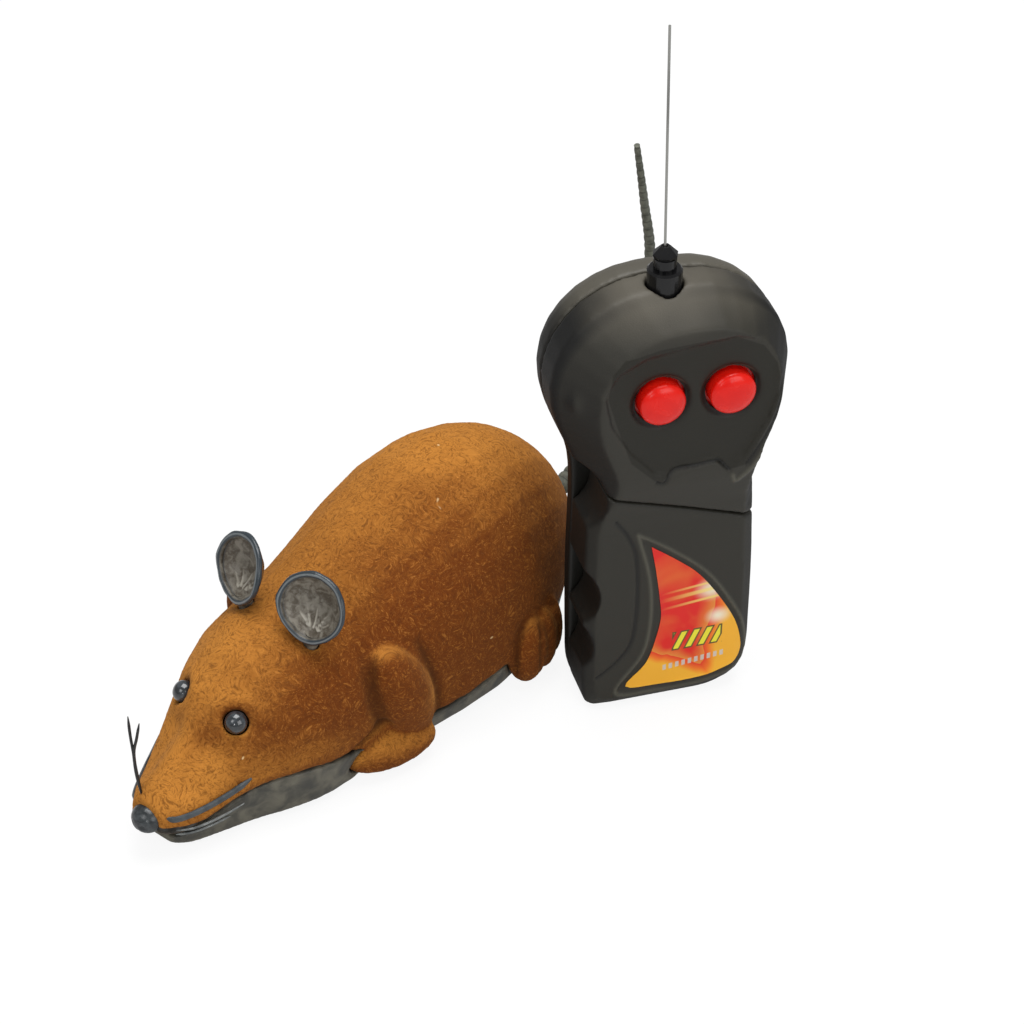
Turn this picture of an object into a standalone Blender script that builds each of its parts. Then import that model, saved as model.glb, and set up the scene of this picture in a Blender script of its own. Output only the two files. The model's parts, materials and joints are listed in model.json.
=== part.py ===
"""A radio-controlled toy mouse and its handheld transmitter, piece by piece.

Metres, +Z up. The mouse stands on its wheels with its nose toward -Y and its left side toward +X.
The transmitter stands on its bottom end beside the left haunch, with its face turned to the left.
"""
import math

import bmesh
import bpy
from mathutils import Euler, Matrix, Vector

# Fits that every piece shares
fit_gap = 0.0003
overrun = 0.0030
volume_slack_share = 0.001
weld_distance = 0.00001
turn = 2 * math.pi

# Flocked upper body, sized over the ground
body_front = 0.0035
body_length = 0.1310
body_width = 0.0524
body_height = 0.0536
shell_wall = 0.0018
crown_power = 2.05
crown_steps = 12
hollow_crown_steps = 8
first_hollow_row = 3
last_hollow_row = 15
# One row per station: place along the body, half width, widest height, top, parting edge, tuck
body_row_shares = (
    (0.000, 0.170, 0.178, 0.262, 0.130, 0.78),
    (0.027, 0.270, 0.185, 0.325, 0.106, 0.81),
    (0.065, 0.355, 0.200, 0.400, 0.137, 0.87),
    (0.110, 0.430, 0.226, 0.490, 0.185, 0.93),
    (0.160, 0.530, 0.254, 0.598, 0.220, 0.94),
    (0.214, 0.665, 0.285, 0.680, 0.230, 0.96),
    (0.276, 0.775, 0.312, 0.730, 0.219, 0.97),
    (0.346, 0.812, 0.338, 0.750, 0.189, 0.97),
    (0.424, 0.835, 0.370, 0.796, 0.156, 0.97),
    (0.502, 0.885, 0.400, 0.855, 0.130, 0.97),
    (0.588, 0.960, 0.420, 0.928, 0.137, 0.96),
    (0.673, 1.000, 0.430, 0.980, 0.156, 0.95),
    (0.759, 0.970, 0.425, 1.000, 0.167, 0.94),
    (0.837, 0.885, 0.415, 0.950, 0.178, 0.92),
    (0.899, 0.750, 0.405, 0.862, 0.194, 0.90),
    (0.946, 0.570, 0.395, 0.745, 0.222, 0.88),
    (0.981, 0.365, 0.385, 0.610, 0.256, 0.86),
    (1.000, 0.170, 0.378, 0.500, 0.306, 0.84),
)

# Grey chassis with the lower jaw
ground_clearance = 0.0012
chassis_wall = 0.0016
chassis_edge = 0.0008
chassis_draft_share = 0.07
mouth_gap = 0.0010
mouth_row = 4
first_jaw_row = 0.75
last_jaw_row = 14.5
jaw_rise_rows = 2.0
rump_row = 12.5
rump_rise_rows = 2.0
close_rows_past_tray = 0.75
first_tray_row = 6
last_tray_row = 13.5
jaw_front_rise = 0.0011
tail_end_rise = 0.0065
lip_ridge_radius = 0.0006
lip_ridge_height = 0.0024
lip_last_row = 4.25

# Legs, as rounded lobes on the left side; the right side mirrors them. Every place on the mouse that
# ends in shares is across the half width, along the length and up the height of its body
arm_shares = (0.794, 0.440, 0.354)
arm_radii = (0.0068, 0.0074, 0.0150)
arm_tilt = math.radians(23)
forearm_shares = (0.817, 0.411, 0.106)
forearm_radii = (0.0046, 0.0117, 0.0047)
forearm_turn = math.radians(-17)
haunch_shares = (0.969, 0.726, 0.183)
haunch_radii = (0.0046, 0.0056, 0.0091)
toe_shares = (0.950, 0.769, 0.175)
toe_radii = (0.0042, 0.0034, 0.0088)
heel_shares = (0.908, 0.799, 0.183)
heel_radii = (0.0036, 0.0032, 0.0088)

# Face and ears
nose_shares = (0.000, 0.003, 0.179)
nose_radii = (0.0040, 0.0038, 0.0036)
nose_stem_radius = 0.0011
nose_stem_length = 0.0042
eye_shares = (0.298, 0.156, 0.509)
eye_radius = 0.0026
ear_shares = (0.397, 0.323, 0.862)
ear_radius = 0.0083
ear_depth = 0.0036
ear_wall = 0.0010
ear_rim_radius = 0.0007
ear_pinch_share = 0.22
ear_turn = math.radians(15)
ear_lean = math.radians(20)
ear_stem_radius = 0.0016
ear_stem_length = 0.0066
ear_stem_inward = 0.0016
whisker_radius = 0.00028
whisker_plug_radius = 0.0006
whisker_plug_length = 0.0024
whisker_point_pitch = 0.0035
whisker_length = 0.0218
whisker_root_shares = (-0.092, 0.011, 0.241)
# The bend and the tips, counted from the root in whisker lengths
whisker_bend_shares = (-0.032, -0.037, 0.587)
whisker_tip_shares = (
    (-0.096, -0.009, 1.000),
    (0.018, 0.028, 0.954),
)

# Ringed tail, from the rump up behind the transmitter
tail_root_radius = 0.0024
tail_tip_radius = 0.00055
tail_ring_pitch = 0.0046
tail_ring_step_share = 0.86
tail_root_shares = (0.000, 0.958, 0.336)
tail_reach = 0.0440
tail_rise = 0.0825
# Points of the tail counted from its root: along in reaches, up in rises
tail_path_shares = (
    (0.000, 0.000),
    (0.216, 0.007),
    (0.477, 0.051),
    (0.750, 0.179),
    (0.932, 0.376),
    (1.000, 0.596),
    (0.934, 0.806),
    (0.861, 1.000),
)

# Rear wheels on one axle
axle_y = 0.0980
wheel_radius = 0.0100
tyre_depth = 0.0022
wheel_width = 0.0050
wheel_inner_x = 0.0135
hub_radius = 0.0026
hub_web_share = 0.35
spoke_holes = 5
axle_radius = 0.0010
axle_end = 0.0006
well_clearance = 0.0010
well_wall = 0.0012

# Gear train: axle gear, compound idler, motor pinion
gear_module = 0.0004
axle_gear_teeth = 32
idler_small_teeth = 10
idler_large_teeth = 30
pinion_teeth = 8
centre_clearance = 0.00005
pressure_angle = math.radians(20)
addendum_share = 0.80
dedendum_share = 1.15
tooth_thickness_share = 0.86
gear_line_angle = math.radians(134.5)
gear_stage_width = 0.0026
gear_side_gap = 0.0004
idler_pin_radius = 0.0007

# Gearbox and motor
gearbox_inner_x = 0.0022
gearbox_wall = 0.0011
gearbox_room = 0.0008
motor_radius = 0.00775
motor_flat = 0.0060
motor_length = 0.0135
motor_boss_radius = 0.0022
motor_boss_length = 0.0008
motor_shaft_radius = 0.0005

# Swivelling front caster
caster_y = 0.0190
caster_trail = 0.0026
caster_wheel_radius = 0.0036
caster_wheel_width = 0.0026
caster_pin_radius = 0.0006
caster_arm_thickness = 0.0009
caster_arm_width = 0.0030
caster_crown_thickness = 0.0010
caster_stem_radius = 0.0012
caster_cap_radius = 0.0020
caster_cap_thickness = 0.0008
caster_pocket_gap = 0.0005

# Cells of AAA size side by side in the mouse
cell_radius = 0.00525
cell_length = 0.0437
cell_nub_radius = 0.0019
cell_nub_length = 0.0008
cell_spacing = 0.0110
cell_front_y = 0.0360
bay_room = 0.0018
bay_wall = 0.0012
bay_rim = 0.0016
door_thickness = 0.0014
door_screw_radius = 0.0010
door_screw_head = 0.0018
door_screw_length = 0.0060
door_ear_length = 0.0046

# Contacts, as stamped plates with a wire spring
contact_thickness = 0.0004
contact_gap = 0.0001
spring_wire = 0.00022
spring_turns = 2
spring_points = 7

# Receiver board over the battery bay
board_thickness = 0.0012
board_half_width = 0.0125
board_length = 0.0330
board_lift = 0.0024
board_post_radius = 0.0018
board_post_inset = 0.0030

# Slide switch in the floor
switch_place = (-0.0085, 0.0905)
switch_body_size = (0.0040, 0.0088, 0.0036)
switch_knob_size = (0.0020, 0.0028)
switch_knob_drop = 0.0006
switch_travel = 0.0020

# Screws that hold the two halves of the mouse
case_screw_radius = 0.0011
case_screw_head = 0.0021
case_screw_head_depth = 0.0012
case_screw_length = 0.0110
case_boss_radius = 0.0024
case_boss_shares = ((0.0, 0.200), (0.553, 0.8435), (-0.553, 0.8435))
case_boss_foot = 0.0040

# Transmitter, in its own frame: face toward -Y, X across, the bottom end on Z = 0
remote_place = (0.0533, 0.1146)
remote_yaw = math.radians(56.4)
remote_height = 0.1078
remote_width = 0.0530
remote_depth = 0.0220
remote_parting = 0.0130
remote_wall = 0.0018
remote_back_round = 0.0050
remote_low_edge = 0.0026
remote_low_crease = 0.0022
remote_head_crease = 0.0055
remote_head_forward = 0.0025
remote_head_shift = 0.0026
remote_head_taper_share = 0.76
remote_head_top_share = 0.86
remote_handle_share = 0.735
remote_steps = 2
spine_shares = (0.22, 0.76)
# Half of the face outline, from the crown down to the foot: across, up
remote_outline_shares = (
    (0.000, 1.000),
    (0.340, 0.994),
    (0.672, 0.957),
    (0.906, 0.890),
    (1.000, 0.808),
    (0.950, 0.722),
    (0.820, 0.643),
    (0.740, 0.575),
    (0.722, 0.505),
    (0.728, 0.413),
    (0.740, 0.290),
    (0.738, 0.170),
    (0.728, 0.090),
    (0.655, 0.035),
    (0.470, 0.008),
    (0.300, 0.000),
    (0.000, 0.000),
)
# The sharper corner at the left end of the foot, in place of the last rows
remote_left_foot_shares = (
    (0.732, 0.090),
    (0.722, 0.030),
    (0.640, 0.003),
    (0.320, 0.000),
    (0.000, 0.000),
)

# Face of the transmitter
# The buttons' line lies below the crown, and the seam and the waist below the buttons' line
button_drop = 0.0236
seam_drop = 0.0295
waist_low_drop = 0.0342
waist_high_drop = 0.0182
seam_slope = -0.365
panel_depth = 0.0009
panel_width = 0.0390
panel_height = 0.0345
# Outline of the sunk panel, from the middle between the buttons: across in widths, up in heights
panel_outline_shares = (
    (-0.523, 0.110),
    (-0.451, 0.255),
    (-0.282, 0.348),
    (-0.015, 0.383),
    (0.223, 0.409),
    (0.382, 0.342),
    (0.462, 0.162),
    (0.477, -0.043),
    (0.415, -0.252),
    (0.290, -0.496),
    (0.205, -0.591),
    (0.115, -0.493),
    (-0.028, -0.522),
    (-0.133, -0.577),
    (-0.231, -0.530),
    (-0.374, -0.339),
    (-0.482, -0.122),
)
button_shift = 0.0010
button_spacing = 0.0156
button_radius = 0.00525
button_rise = 0.0028
button_flange = 0.0009
button_flange_thickness = 0.0009
button_travel = 0.0012
button_dish_radius = 0.0068
button_dish_depth = 0.0005
fin_width = 0.0314
fin_height = 0.0483
# Fin-shaped sticker ground, clockwise from its tip: across in widths, up in heights
fin_outline_shares = (
    (-0.239, 1.000),
    (0.032, 0.880),
    (0.303, 0.694),
    (0.510, 0.466),
    (0.592, 0.248),
    (0.561, 0.178),
    (0.255, 0.104),
    (-0.096, 0.079),
    (-0.408, 0.101),
    (-0.191, 0.269),
    (-0.057, 0.497),
    (-0.083, 0.766),
)
fin_depth = 0.0004
grip_radius = 0.0092
# Height of each finger hollow in shares of the height, and its bite
grips = ((0.547, 0.0042), (0.299, 0.0032), (0.167, 0.0020))

# Antenna
antenna_x = -0.0010
antenna_y = 0.0082
antenna_lean = 0.0007
socket_radius = 0.0038
# Levels of the socket, counted from the crown
socket_base_drop = 0.0048
socket_shoulder_rise = 0.0034
socket_neck_rise = 0.0060
socket_rise = 0.0087
socket_neck_radius = 0.0025
socket_cap_radius = 0.0028
socket_cap_top_radius = 0.0010
socket_sides = 8
rod_radius = 0.0003
rod_rise = 0.0601

# Cells of AA size in the transmitter
remote_cell_radius = 0.00725
remote_cell_length = 0.0492
remote_cell_nub_radius = 0.0027
remote_cell_nub_length = 0.0010
remote_cell_spacing = 0.0150
remote_cell_foot = 0.0080
remote_cell_shift = 0.0015
remote_door_thickness = 0.0012
remote_door_half = 0.0152
remote_door_low = 0.0080
remote_board_drop = 0.0103
remote_board_half = 0.0130
remote_board_thickness = 0.0014
remote_board_y = 0.0042
chip_shares = (0.32, 0.54)
coil_share = 0.21
remote_coil_radius = 0.0025
remote_post_radius = 0.0015
board_post_drop = 0.0180
remote_post_inset = 0.0030
remote_screw_radius = 0.0010
remote_screw_head = 0.0018
remote_screw_length = 0.0120
remote_boss_radius = 0.0026
remote_screw_across = 0.0205
remote_screw_drop = 0.0228

parts = bpy.data.collections.new("toy_mouse_set")
cutters = bpy.data.collections.new("cutters")
mouse_pieces = []
remote_pieces = []


# Scene and mesh helpers

def clear_scene():
    for thing in list(bpy.data.objects):
        bpy.data.objects.remove(thing, do_unlink=True)
    bpy.context.scene.collection.children.link(parts)
    bpy.context.scene.collection.children.link(cutters)


def material(name, colour, roughness=0.5, metallic=0.0):
    made = bpy.data.materials.get(name)
    if made is None:
        made = bpy.data.materials.new(name)
        made.use_nodes = True
        shader = made.node_tree.nodes["Principled BSDF"]
        shader.inputs["Base Color"].default_value = (*colour, 1.0)
        shader.inputs["Roughness"].default_value = roughness
        shader.inputs["Metallic"].default_value = metallic
    return made


def face_outward(work):
    """Turn every face of a closed bmesh outward."""
    bmesh.ops.recalc_face_normals(work, faces=work.faces)
    if work.calc_volume(signed=True) < 0:
        bmesh.ops.reverse_faces(work, faces=work.faces)


def from_bmesh(name, work):
    """A new cutter-collection object that holds a bmesh."""
    face_outward(work)
    mesh = bpy.data.meshes.new(name)
    work.to_mesh(mesh)
    work.free()
    thing = bpy.data.objects.new(name, mesh)
    thing.hide_render = True
    thing.display_type = "WIRE"
    cutters.objects.link(thing)
    return thing


def baked(thing):
    """Replace an object's mesh with its evaluated one, its transform included."""
    bpy.context.view_layer.update()
    depsgraph = bpy.context.evaluated_depsgraph_get()
    mesh = bpy.data.meshes.new_from_object(thing.evaluated_get(depsgraph))
    mesh.transform(thing.matrix_world)
    if thing.type == "CURVE":
        flat = bpy.data.objects.new(thing.name, mesh)
        flat.hide_render = True
        flat.display_type = "WIRE"
        cutters.objects.link(flat)
        bpy.data.objects.remove(thing, do_unlink=True)
        return flat
    thing.modifiers.clear()
    thing.data = mesh
    thing.matrix_world = Matrix.Identity(4)
    return thing


def welded(thing, distance=weld_distance):
    work = bmesh.new()
    work.from_mesh(thing.data)
    bmesh.ops.remove_doubles(work, verts=work.verts, dist=distance)
    face_outward(work)
    work.to_mesh(thing.data)
    work.free()
    return thing


def measured(mesh):
    """Volume of a mesh, and whether every edge has its two faces."""
    work = bmesh.new()
    work.from_mesh(mesh)
    volume = work.calc_volume(signed=True)
    closed = all(len(edge.link_faces) == 2 for edge in work.edges)
    work.free()
    return volume, closed


def combined(target, tool, operation):
    """Apply a Boolean. The manifold solver steps in where the exact one leaves a broken solid."""
    first = measured(target.data)[0]
    second = measured(tool.data)[0]
    slack = first * volume_slack_share
    low, high = {
        "UNION": (max(first, second), first + second),
        "DIFFERENCE": (first - second, first),
        "INTERSECT": (0, min(first, second)),
    }[operation]
    for solver in ("EXACT", "MANIFOLD"):
        step = target.modifiers.new(operation, "BOOLEAN")
        step.operation = operation
        step.solver = solver
        step.object = tool
        bpy.context.view_layer.update()
        depsgraph = bpy.context.evaluated_depsgraph_get()
        mesh = bpy.data.meshes.new_from_object(target.evaluated_get(depsgraph))
        target.modifiers.clear()
        volume, closed = measured(mesh)
        if closed and low - slack < volume < high + slack:
            break
    target.data = mesh
    bpy.data.objects.remove(tool, do_unlink=True)
    return target


def cut(target, *tools):
    for tool in tools:
        combined(target, tool, "DIFFERENCE")
    return target


def join(target, *tools):
    for tool in tools:
        combined(target, tool, "UNION")
    return target


def keep(target, tool):
    return combined(target, tool, "INTERSECT")


def twin(thing, name):
    """A second object with its own copy of the mesh."""
    copy = bpy.data.objects.new(name, thing.data.copy())
    cutters.objects.link(copy)
    return copy


def piece(thing, name, finish, pieces, origin=(0, 0, 0), smooth=35):
    """Name a finished solid, give it its material and put its origin on a chosen point."""
    welded(thing)
    thing.name = name
    thing.data.name = name
    thing.data.transform(Matrix.Translation(-Vector(origin)))
    thing.location = origin
    thing.data.materials.clear()
    thing.data.materials.append(finish)
    thing.data.shade_smooth()
    thing.data.set_sharp_from_angle(angle=math.radians(smooth))
    thing.hide_render = False
    thing.display_type = "TEXTURED"
    cutters.objects.unlink(thing)
    parts.objects.link(thing)
    pieces.append(thing)
    return thing


# Basic solids

def box(low, high):
    """A block between two corners."""
    work = bmesh.new()
    bmesh.ops.create_cube(work, size=1)
    size = Vector(high) - Vector(low)
    middle = (Vector(high) + Vector(low)) / 2
    bmesh.ops.scale(work, vec=size, verts=work.verts)
    bmesh.ops.translate(work, vec=middle, verts=work.verts)
    return from_bmesh("block", work)


def rod(start, end, radius, end_radius=None, segments=24):
    """A cylinder or cone between two points."""
    start = Vector(start)
    end = Vector(end)
    work = bmesh.new()
    bmesh.ops.create_cone(work, cap_ends=True, segments=segments, radius1=radius,
                          radius2=radius if end_radius is None else end_radius,
                          depth=(end - start).length)
    facing = (end - start).to_track_quat("Z", "Y").to_matrix().to_4x4()
    work.transform(Matrix.Translation((start + end) / 2) @ facing)
    return from_bmesh("rod", work)


def ellipsoid(place, radii, tilt=(0, 0, 0), segments=12, rings=8):
    work = bmesh.new()
    bmesh.ops.create_uvsphere(work, u_segments=segments, v_segments=rings, radius=1)
    work.transform(Matrix.LocRotScale(Vector(place), Euler(tilt), Vector(radii)))
    return from_bmesh("lobe", work)


def plate(outline, low, high, plane="XY"):
    """A flat outline as a filled 2D curve, from one level to another along the plane's normal."""
    curve = bpy.data.curves.new("plate", "CURVE")
    curve.dimensions = "2D"
    curve.fill_mode = "BOTH"
    curve.extrude = (high - low) / 2
    spline = curve.splines.new("POLY")
    spline.points.add(len(outline) - 1)
    for point, (across, up) in zip(spline.points, outline):
        point.co = (across, up, 0, 1)
    spline.use_cyclic_u = True
    thing = bpy.data.objects.new("plate", curve)
    cutters.objects.link(thing)
    middle = (low + high) / 2
    if plane == "XY":
        thing.matrix_world = Matrix.Translation((0, 0, middle))
    elif plane == "XZ":
        thing.matrix_world = Matrix(((1, 0, 0, 0), (0, 0, -1, middle), (0, 1, 0, 0), (0, 0, 0, 1)))
    else:
        thing.matrix_world = Matrix(((0, 0, 1, middle), (1, 0, 0, 0), (0, 1, 0, 0), (0, 0, 0, 1)))
    return welded(baked(thing))


def turned(profile, segments=32):
    """A profile of radius and height, top to bottom down its outer side, turned about Z."""
    mesh = bpy.data.meshes.new("turned")
    edges = [(index, index + 1) for index in range(len(profile) - 1)]
    mesh.from_pydata([(radius, 0, height) for radius, height in profile], edges, [])
    thing = bpy.data.objects.new("turned", mesh)
    cutters.objects.link(thing)
    screw = thing.modifiers.new("turn", "SCREW")
    screw.axis = "Z"
    screw.steps = segments
    screw.render_steps = segments
    screw.use_merge_vertices = True
    screw.merge_threshold = weld_distance
    return welded(baked(thing))


def placed(thing, place, axis="Z"):
    """Lay a turned solid's Z axis along X, -X, Y, -Y or Z and move it."""
    heading = {
        "X": Vector((1, 0, 0)), "-X": Vector((-1, 0, 0)), "Y": Vector((0, 1, 0)),
        "-Y": Vector((0, -1, 0)), "Z": Vector((0, 0, 1)), "-Z": Vector((0, 0, -1)),
    }[axis]
    facing = heading.to_track_quat("Z", "Y").to_matrix().to_4x4()
    thing.data.transform(Matrix.Translation(Vector(place)) @ facing)
    return thing


def tube(points, radii, resolution=2):
    """A closed tube along points, with one radius at each."""
    curve = bpy.data.curves.new("tube", "CURVE")
    curve.dimensions = "3D"
    curve.bevel_depth = 1.0
    curve.bevel_resolution = resolution
    curve.use_fill_caps = True
    spline = curve.splines.new("POLY")
    spline.points.add(len(points) - 1)
    for point, place, radius in zip(spline.points, points, radii):
        point.co = (*place, 1)
        point.radius = radius
    thing = bpy.data.objects.new("tube", curve)
    cutters.objects.link(thing)
    return welded(baked(thing))


def smooth_value(values, position):
    """Catmull-Rom value of a list of numbers or vectors at a fractional index."""
    last = len(values) - 1
    index = min(int(position), last - 1)
    share = position - index
    before = values[max(index - 1, 0)]
    here = values[index]
    after = values[index + 1]
    beyond = values[min(index + 2, last)]
    return (here + (after - before) * (share / 2)
            + (before * 2 - here * 5 + after * 4 - beyond) * (share ** 2 / 2)
            + (here * 3 - before - after * 3 + beyond) * (share ** 3 / 2))


def smooth_path(path, step):
    """Points about one step apart along a smooth curve through the path's own points."""
    points = [Vector(point) for point in path]
    fine = [smooth_value(points, index / 20) for index in range(20 * (len(points) - 1) + 1)]
    length = sum((after - here).length for here, after in zip(fine, fine[1:]))
    count = max(2, round(length / step))
    spaced = [fine[0]]
    travelled = 0
    for here, after in zip(fine, fine[1:]):
        travelled += (after - here).length
        if travelled >= len(spaced) * length / count and len(spaced) < count:
            spaced.append(after)
    spaced.append(fine[-1])
    return spaced


def loft(rings):
    """Skin rings that have the same number of points, with a face over each end."""
    work = bmesh.new()
    loops = [[work.verts.new(point) for point in ring] for ring in rings]
    for here, after in zip(loops, loops[1:]):
        for index in range(len(here)):
            beside = (index + 1) % len(here)
            work.faces.new((here[index], here[beside], after[beside], after[index]))
    work.faces.new(loops[0])
    work.faces.new(loops[-1])
    return from_bmesh("loft", work)


# Mouse body

def body_row(position):
    """Place along Y, half width, widest height, top, parting height and tuck at a station."""
    columns = list(zip(*body_row_shares))
    along, half, middle, top, parting, tuck = (smooth_value(column, position) for column in columns)
    return (body_front + along * body_length, half * body_width / 2, middle * body_height,
            top * body_height, parting * body_height, tuck)


def on_body(shares, side=1):
    """A point in shares of the body: across its half width, along its length and up its height."""
    across, along, up = shares
    return Vector((side * across * body_width / 2, body_front + along * body_length, up * body_height))


def row_at(y):
    """The station, as a fractional index, that lies at a place along Y."""
    low, high = 0.0, len(body_row_shares) - 1.0
    for _ in range(24):
        middle = (low + high) / 2
        low, high = (middle, high) if body_row(middle)[0] < y else (low, middle)
    return (low + high) / 2


def case_boss_places():
    return [tuple(on_body((*shares, 0))[:2]) for shares in case_boss_shares]


def tail_path():
    """Points of the tail's line, from inside the rump to its tip."""
    root = on_body(tail_root_shares)
    return [root + Vector((0, along * tail_reach, up * tail_rise)) for along, up in tail_path_shares]


def stations(first, last):
    """Every half station from one row to another."""
    count = round((last - first) * 2)
    return [first + (last - first) * index / count for index in range(count + 1)]


def arch(position, inset, drop=0.0, steps=crown_steps):
    """One cross-section of the upper body, from the left edge over the back to the right edge."""
    y, half, middle, top, parting, tuck = body_row(position)
    half -= inset
    top -= inset
    edge = half * tuck
    left = [Vector((edge, y, parting - drop))] if drop else []
    for share in (1.0, 0.66, 0.33):
        left.append(Vector((half - (half - edge) * share ** 2, y, middle - (middle - parting) * share)))
    right = [Vector((-point.x, y, point.z)) for point in reversed(left)]
    crown = []
    for step in range(steps + 1):
        angle = math.pi * step / steps
        across = abs(math.cos(angle)) ** (2 / crown_power) * math.copysign(1, math.cos(angle))
        height = middle + (top - middle) * math.sin(angle) ** (2 / crown_power)
        crown.append(Vector((half * across, y, height)))
    return left + crown + right


def jaw_gap(position):
    """The gap under the upper body: the open mouth in front, a plain fit behind."""
    share = min(max((mouth_row - position) / mouth_row, 0), 1)
    return fit_gap + (mouth_gap - fit_gap) * min(share * 3, 1)


def floor_height(position):
    """Height of the chassis floor: flat, but lifted under the lip and under the rump."""
    lift = jaw_front_rise * max(0, jaw_rise_rows - position) ** 2
    rise = tail_end_rise * (max(0, position - rump_row) / rump_rise_rows) ** 2
    return ground_clearance + lift + rise


def tray_section(position, inset, floor, lid):
    """One cross-section of the chassis, from the left edge under the floor to the right edge."""
    y, half, middle, top, parting, tuck = body_row(position)
    edge = half * tuck - inset
    foot = edge * (1 - chassis_draft_share)
    left = [
        Vector((edge, y, lid)),
        Vector((foot + (edge - foot) * 0.5, y, (lid + floor) / 2)),
        Vector((foot, y, floor + chassis_edge)),
        Vector((foot - chassis_edge, y, floor)),
    ]
    return left + [Vector((-point.x, y, point.z)) for point in reversed(left)]


def upper_body():
    """Outer form of the flocked body without its hollow, with closer rows at its two ends."""
    front = stations(0, first_hollow_row + 1)
    back = stations(last_hollow_row - 2, len(body_row_shares) - 1)
    middle = list(range(first_hollow_row + 2, last_hollow_row - 2))
    return loft([arch(position, 0) for position in front + middle + back])


def hollow_body(inset=shell_wall, drop=overrun):
    """The room inside the upper body, reaching below its lower edge."""
    rows = range(first_hollow_row, last_hollow_row + 1, 2)
    return loft([arch(position, inset, drop, hollow_crown_steps) for position in rows])


def lobes(side, grow=0.0):
    """The lobes of one side's legs, mirrored for the right side."""
    shapes = (
        (arm_shares, arm_radii, (arm_tilt, 0, 0)),
        (forearm_shares, forearm_radii, (0, 0, forearm_turn)),
        (haunch_shares, haunch_radii, (0, 0, 0)),
        (toe_shares, toe_radii, (0, 0, 0)),
        (heel_shares, heel_radii, (0, 0, 0)),
    )
    made = []
    for shares, radii, tilt in shapes:
        sizes = [radius + grow for radius in radii]
        made.append(ellipsoid(on_body(shares, side), sizes, (tilt[0], tilt[1], tilt[2] * side)))
    return made


def lip_path(side, height, out):
    """Points along the snout's lower edge on one side, from the cheek to the nose."""
    points = []
    for step in range(9):
        position = lip_last_row * (1 - step / 8) + 0.12
        y, half, middle, top, parting, tuck = body_row(position)
        level = parting + height * (1 - 0.45 * step / 8)
        share = min((middle - level) / max(middle - parting, fit_gap), 1)
        across = half - half * (1 - tuck) * max(share, 0) ** 2
        points.append((side * (across + out), y, level))
    return points


def ear_axis(side):
    """Where an ear's dish faces: forward, outward and a little up."""
    return Vector((math.sin(ear_turn) * math.cos(ear_lean) * side,
                   -math.cos(ear_turn) * math.cos(ear_lean), math.sin(ear_lean)))


def ear_frame(side):
    """The ear's own axes: X across the dish, Y up along it, Z out of the cup."""
    facing = ear_axis(side)
    across = Vector((0, 0, 1)).cross(facing).normalized()
    upright = facing.cross(across)
    turned_axes = Matrix((across, upright, facing)).transposed().to_4x4()
    return Matrix.Translation(on_body(ear_shares, side)) @ turned_axes


def ear_stem_ends(side, grow=0.0):
    """The ends of an ear's stem, from behind its lower rim straight down into the head."""
    start = ear_frame(side) @ Vector((0, -ear_radius * 0.72, -ear_depth * 0.62))
    end = start + Vector((-side * ear_stem_inward, 0, -ear_stem_length - grow))
    return start, end


def build_body_shell():
    shell = upper_body()
    for side in (1, -1):
        join(shell, *lobes(side))
        path = lip_path(side, lip_ridge_height, 0)
        radii = [lip_ridge_radius * min(1, 0.3 + 0.25 * index) for index in range(len(path))]
        join(shell, tube(path, radii, 1))
    cut(shell, hollow_body())
    for place in case_boss_places():
        foot = ground_clearance + case_boss_foot
        boss = rod((*place, foot), (*place, body_height), case_boss_radius, segments=12)
        join(shell, keep(boss, hollow_body(shell_wall / 2, body_height / 4)))
        cut(shell, rod((*place, foot - overrun), (*place, foot + case_screw_length),
                       case_screw_radius + fit_gap, segments=10))
    for side in (1, -1):
        cut(shell, ellipsoid(on_body(eye_shares, side), [eye_radius + fit_gap] * 3))
        start, end = ear_stem_ends(side, fit_gap)
        cut(shell, rod(start, end, ear_stem_radius + fit_gap, segments=12))
    nose = on_body(nose_shares)
    nose_end = nose.y + nose_stem_length + fit_gap
    cut(shell, rod((0, 0, nose.z), (0, nose_end, nose.z), nose_stem_radius + fit_gap, segments=16))
    root = on_body(whisker_root_shares)
    depth = Vector((0, 0, whisker_plug_length))
    foot = root - depth / 2 - Vector((0, 0, fit_gap))
    cut(shell, rod(root + depth * 2, foot, whisker_plug_radius + fit_gap, segments=12))
    lid = caster_lid()
    cut(shell, rod((0, caster_y, lid), (0, caster_y, lid + 2 * caster_cap_thickness),
                   caster_cap_radius + fit_gap, segments=12))
    tail_start, tail_out = tail_path()[:2]
    cut(shell, rod(tail_start - (tail_out - tail_start), tail_out, tail_root_radius + fit_gap, segments=16))
    piece(shell, "body_shell", material("flocked_brown", (0.30, 0.13, 0.04), 0.95), mouse_pieces)


def build_chassis():
    rings = []
    front = stations(first_jaw_row, first_tray_row + close_rows_past_tray)
    for position in front + [7, 8, 9, 10, 11, 12] + stations(13, last_jaw_row):
        lid = body_row(position)[4] - jaw_gap(position)
        rings.append(tray_section(position, 0, floor_height(position), lid))
    chassis = loft(rings)
    rings = []
    for position in (first_tray_row, 7, 8, 9, 10, 11, 12, 13, last_tray_row):
        lid = body_row(position)[4] + overrun
        rings.append(tray_section(position, chassis_wall, floor_height(position) + chassis_wall, lid))
    cut(chassis, loft(rings))
    add_bay(chassis)
    add_wells(chassis)
    for side in (1, -1):
        cut(chassis, *lobes(side, fit_gap))
    add_gearbox_window(chassis)
    add_caster_pocket(chassis)
    add_switch_window(chassis)
    for place in case_boss_places():
        add_screw_seat(chassis, place)
    piece(chassis, "chassis", material("dark_grey_plastic", (0.035, 0.036, 0.035), 0.45), mouse_pieces)


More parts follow.
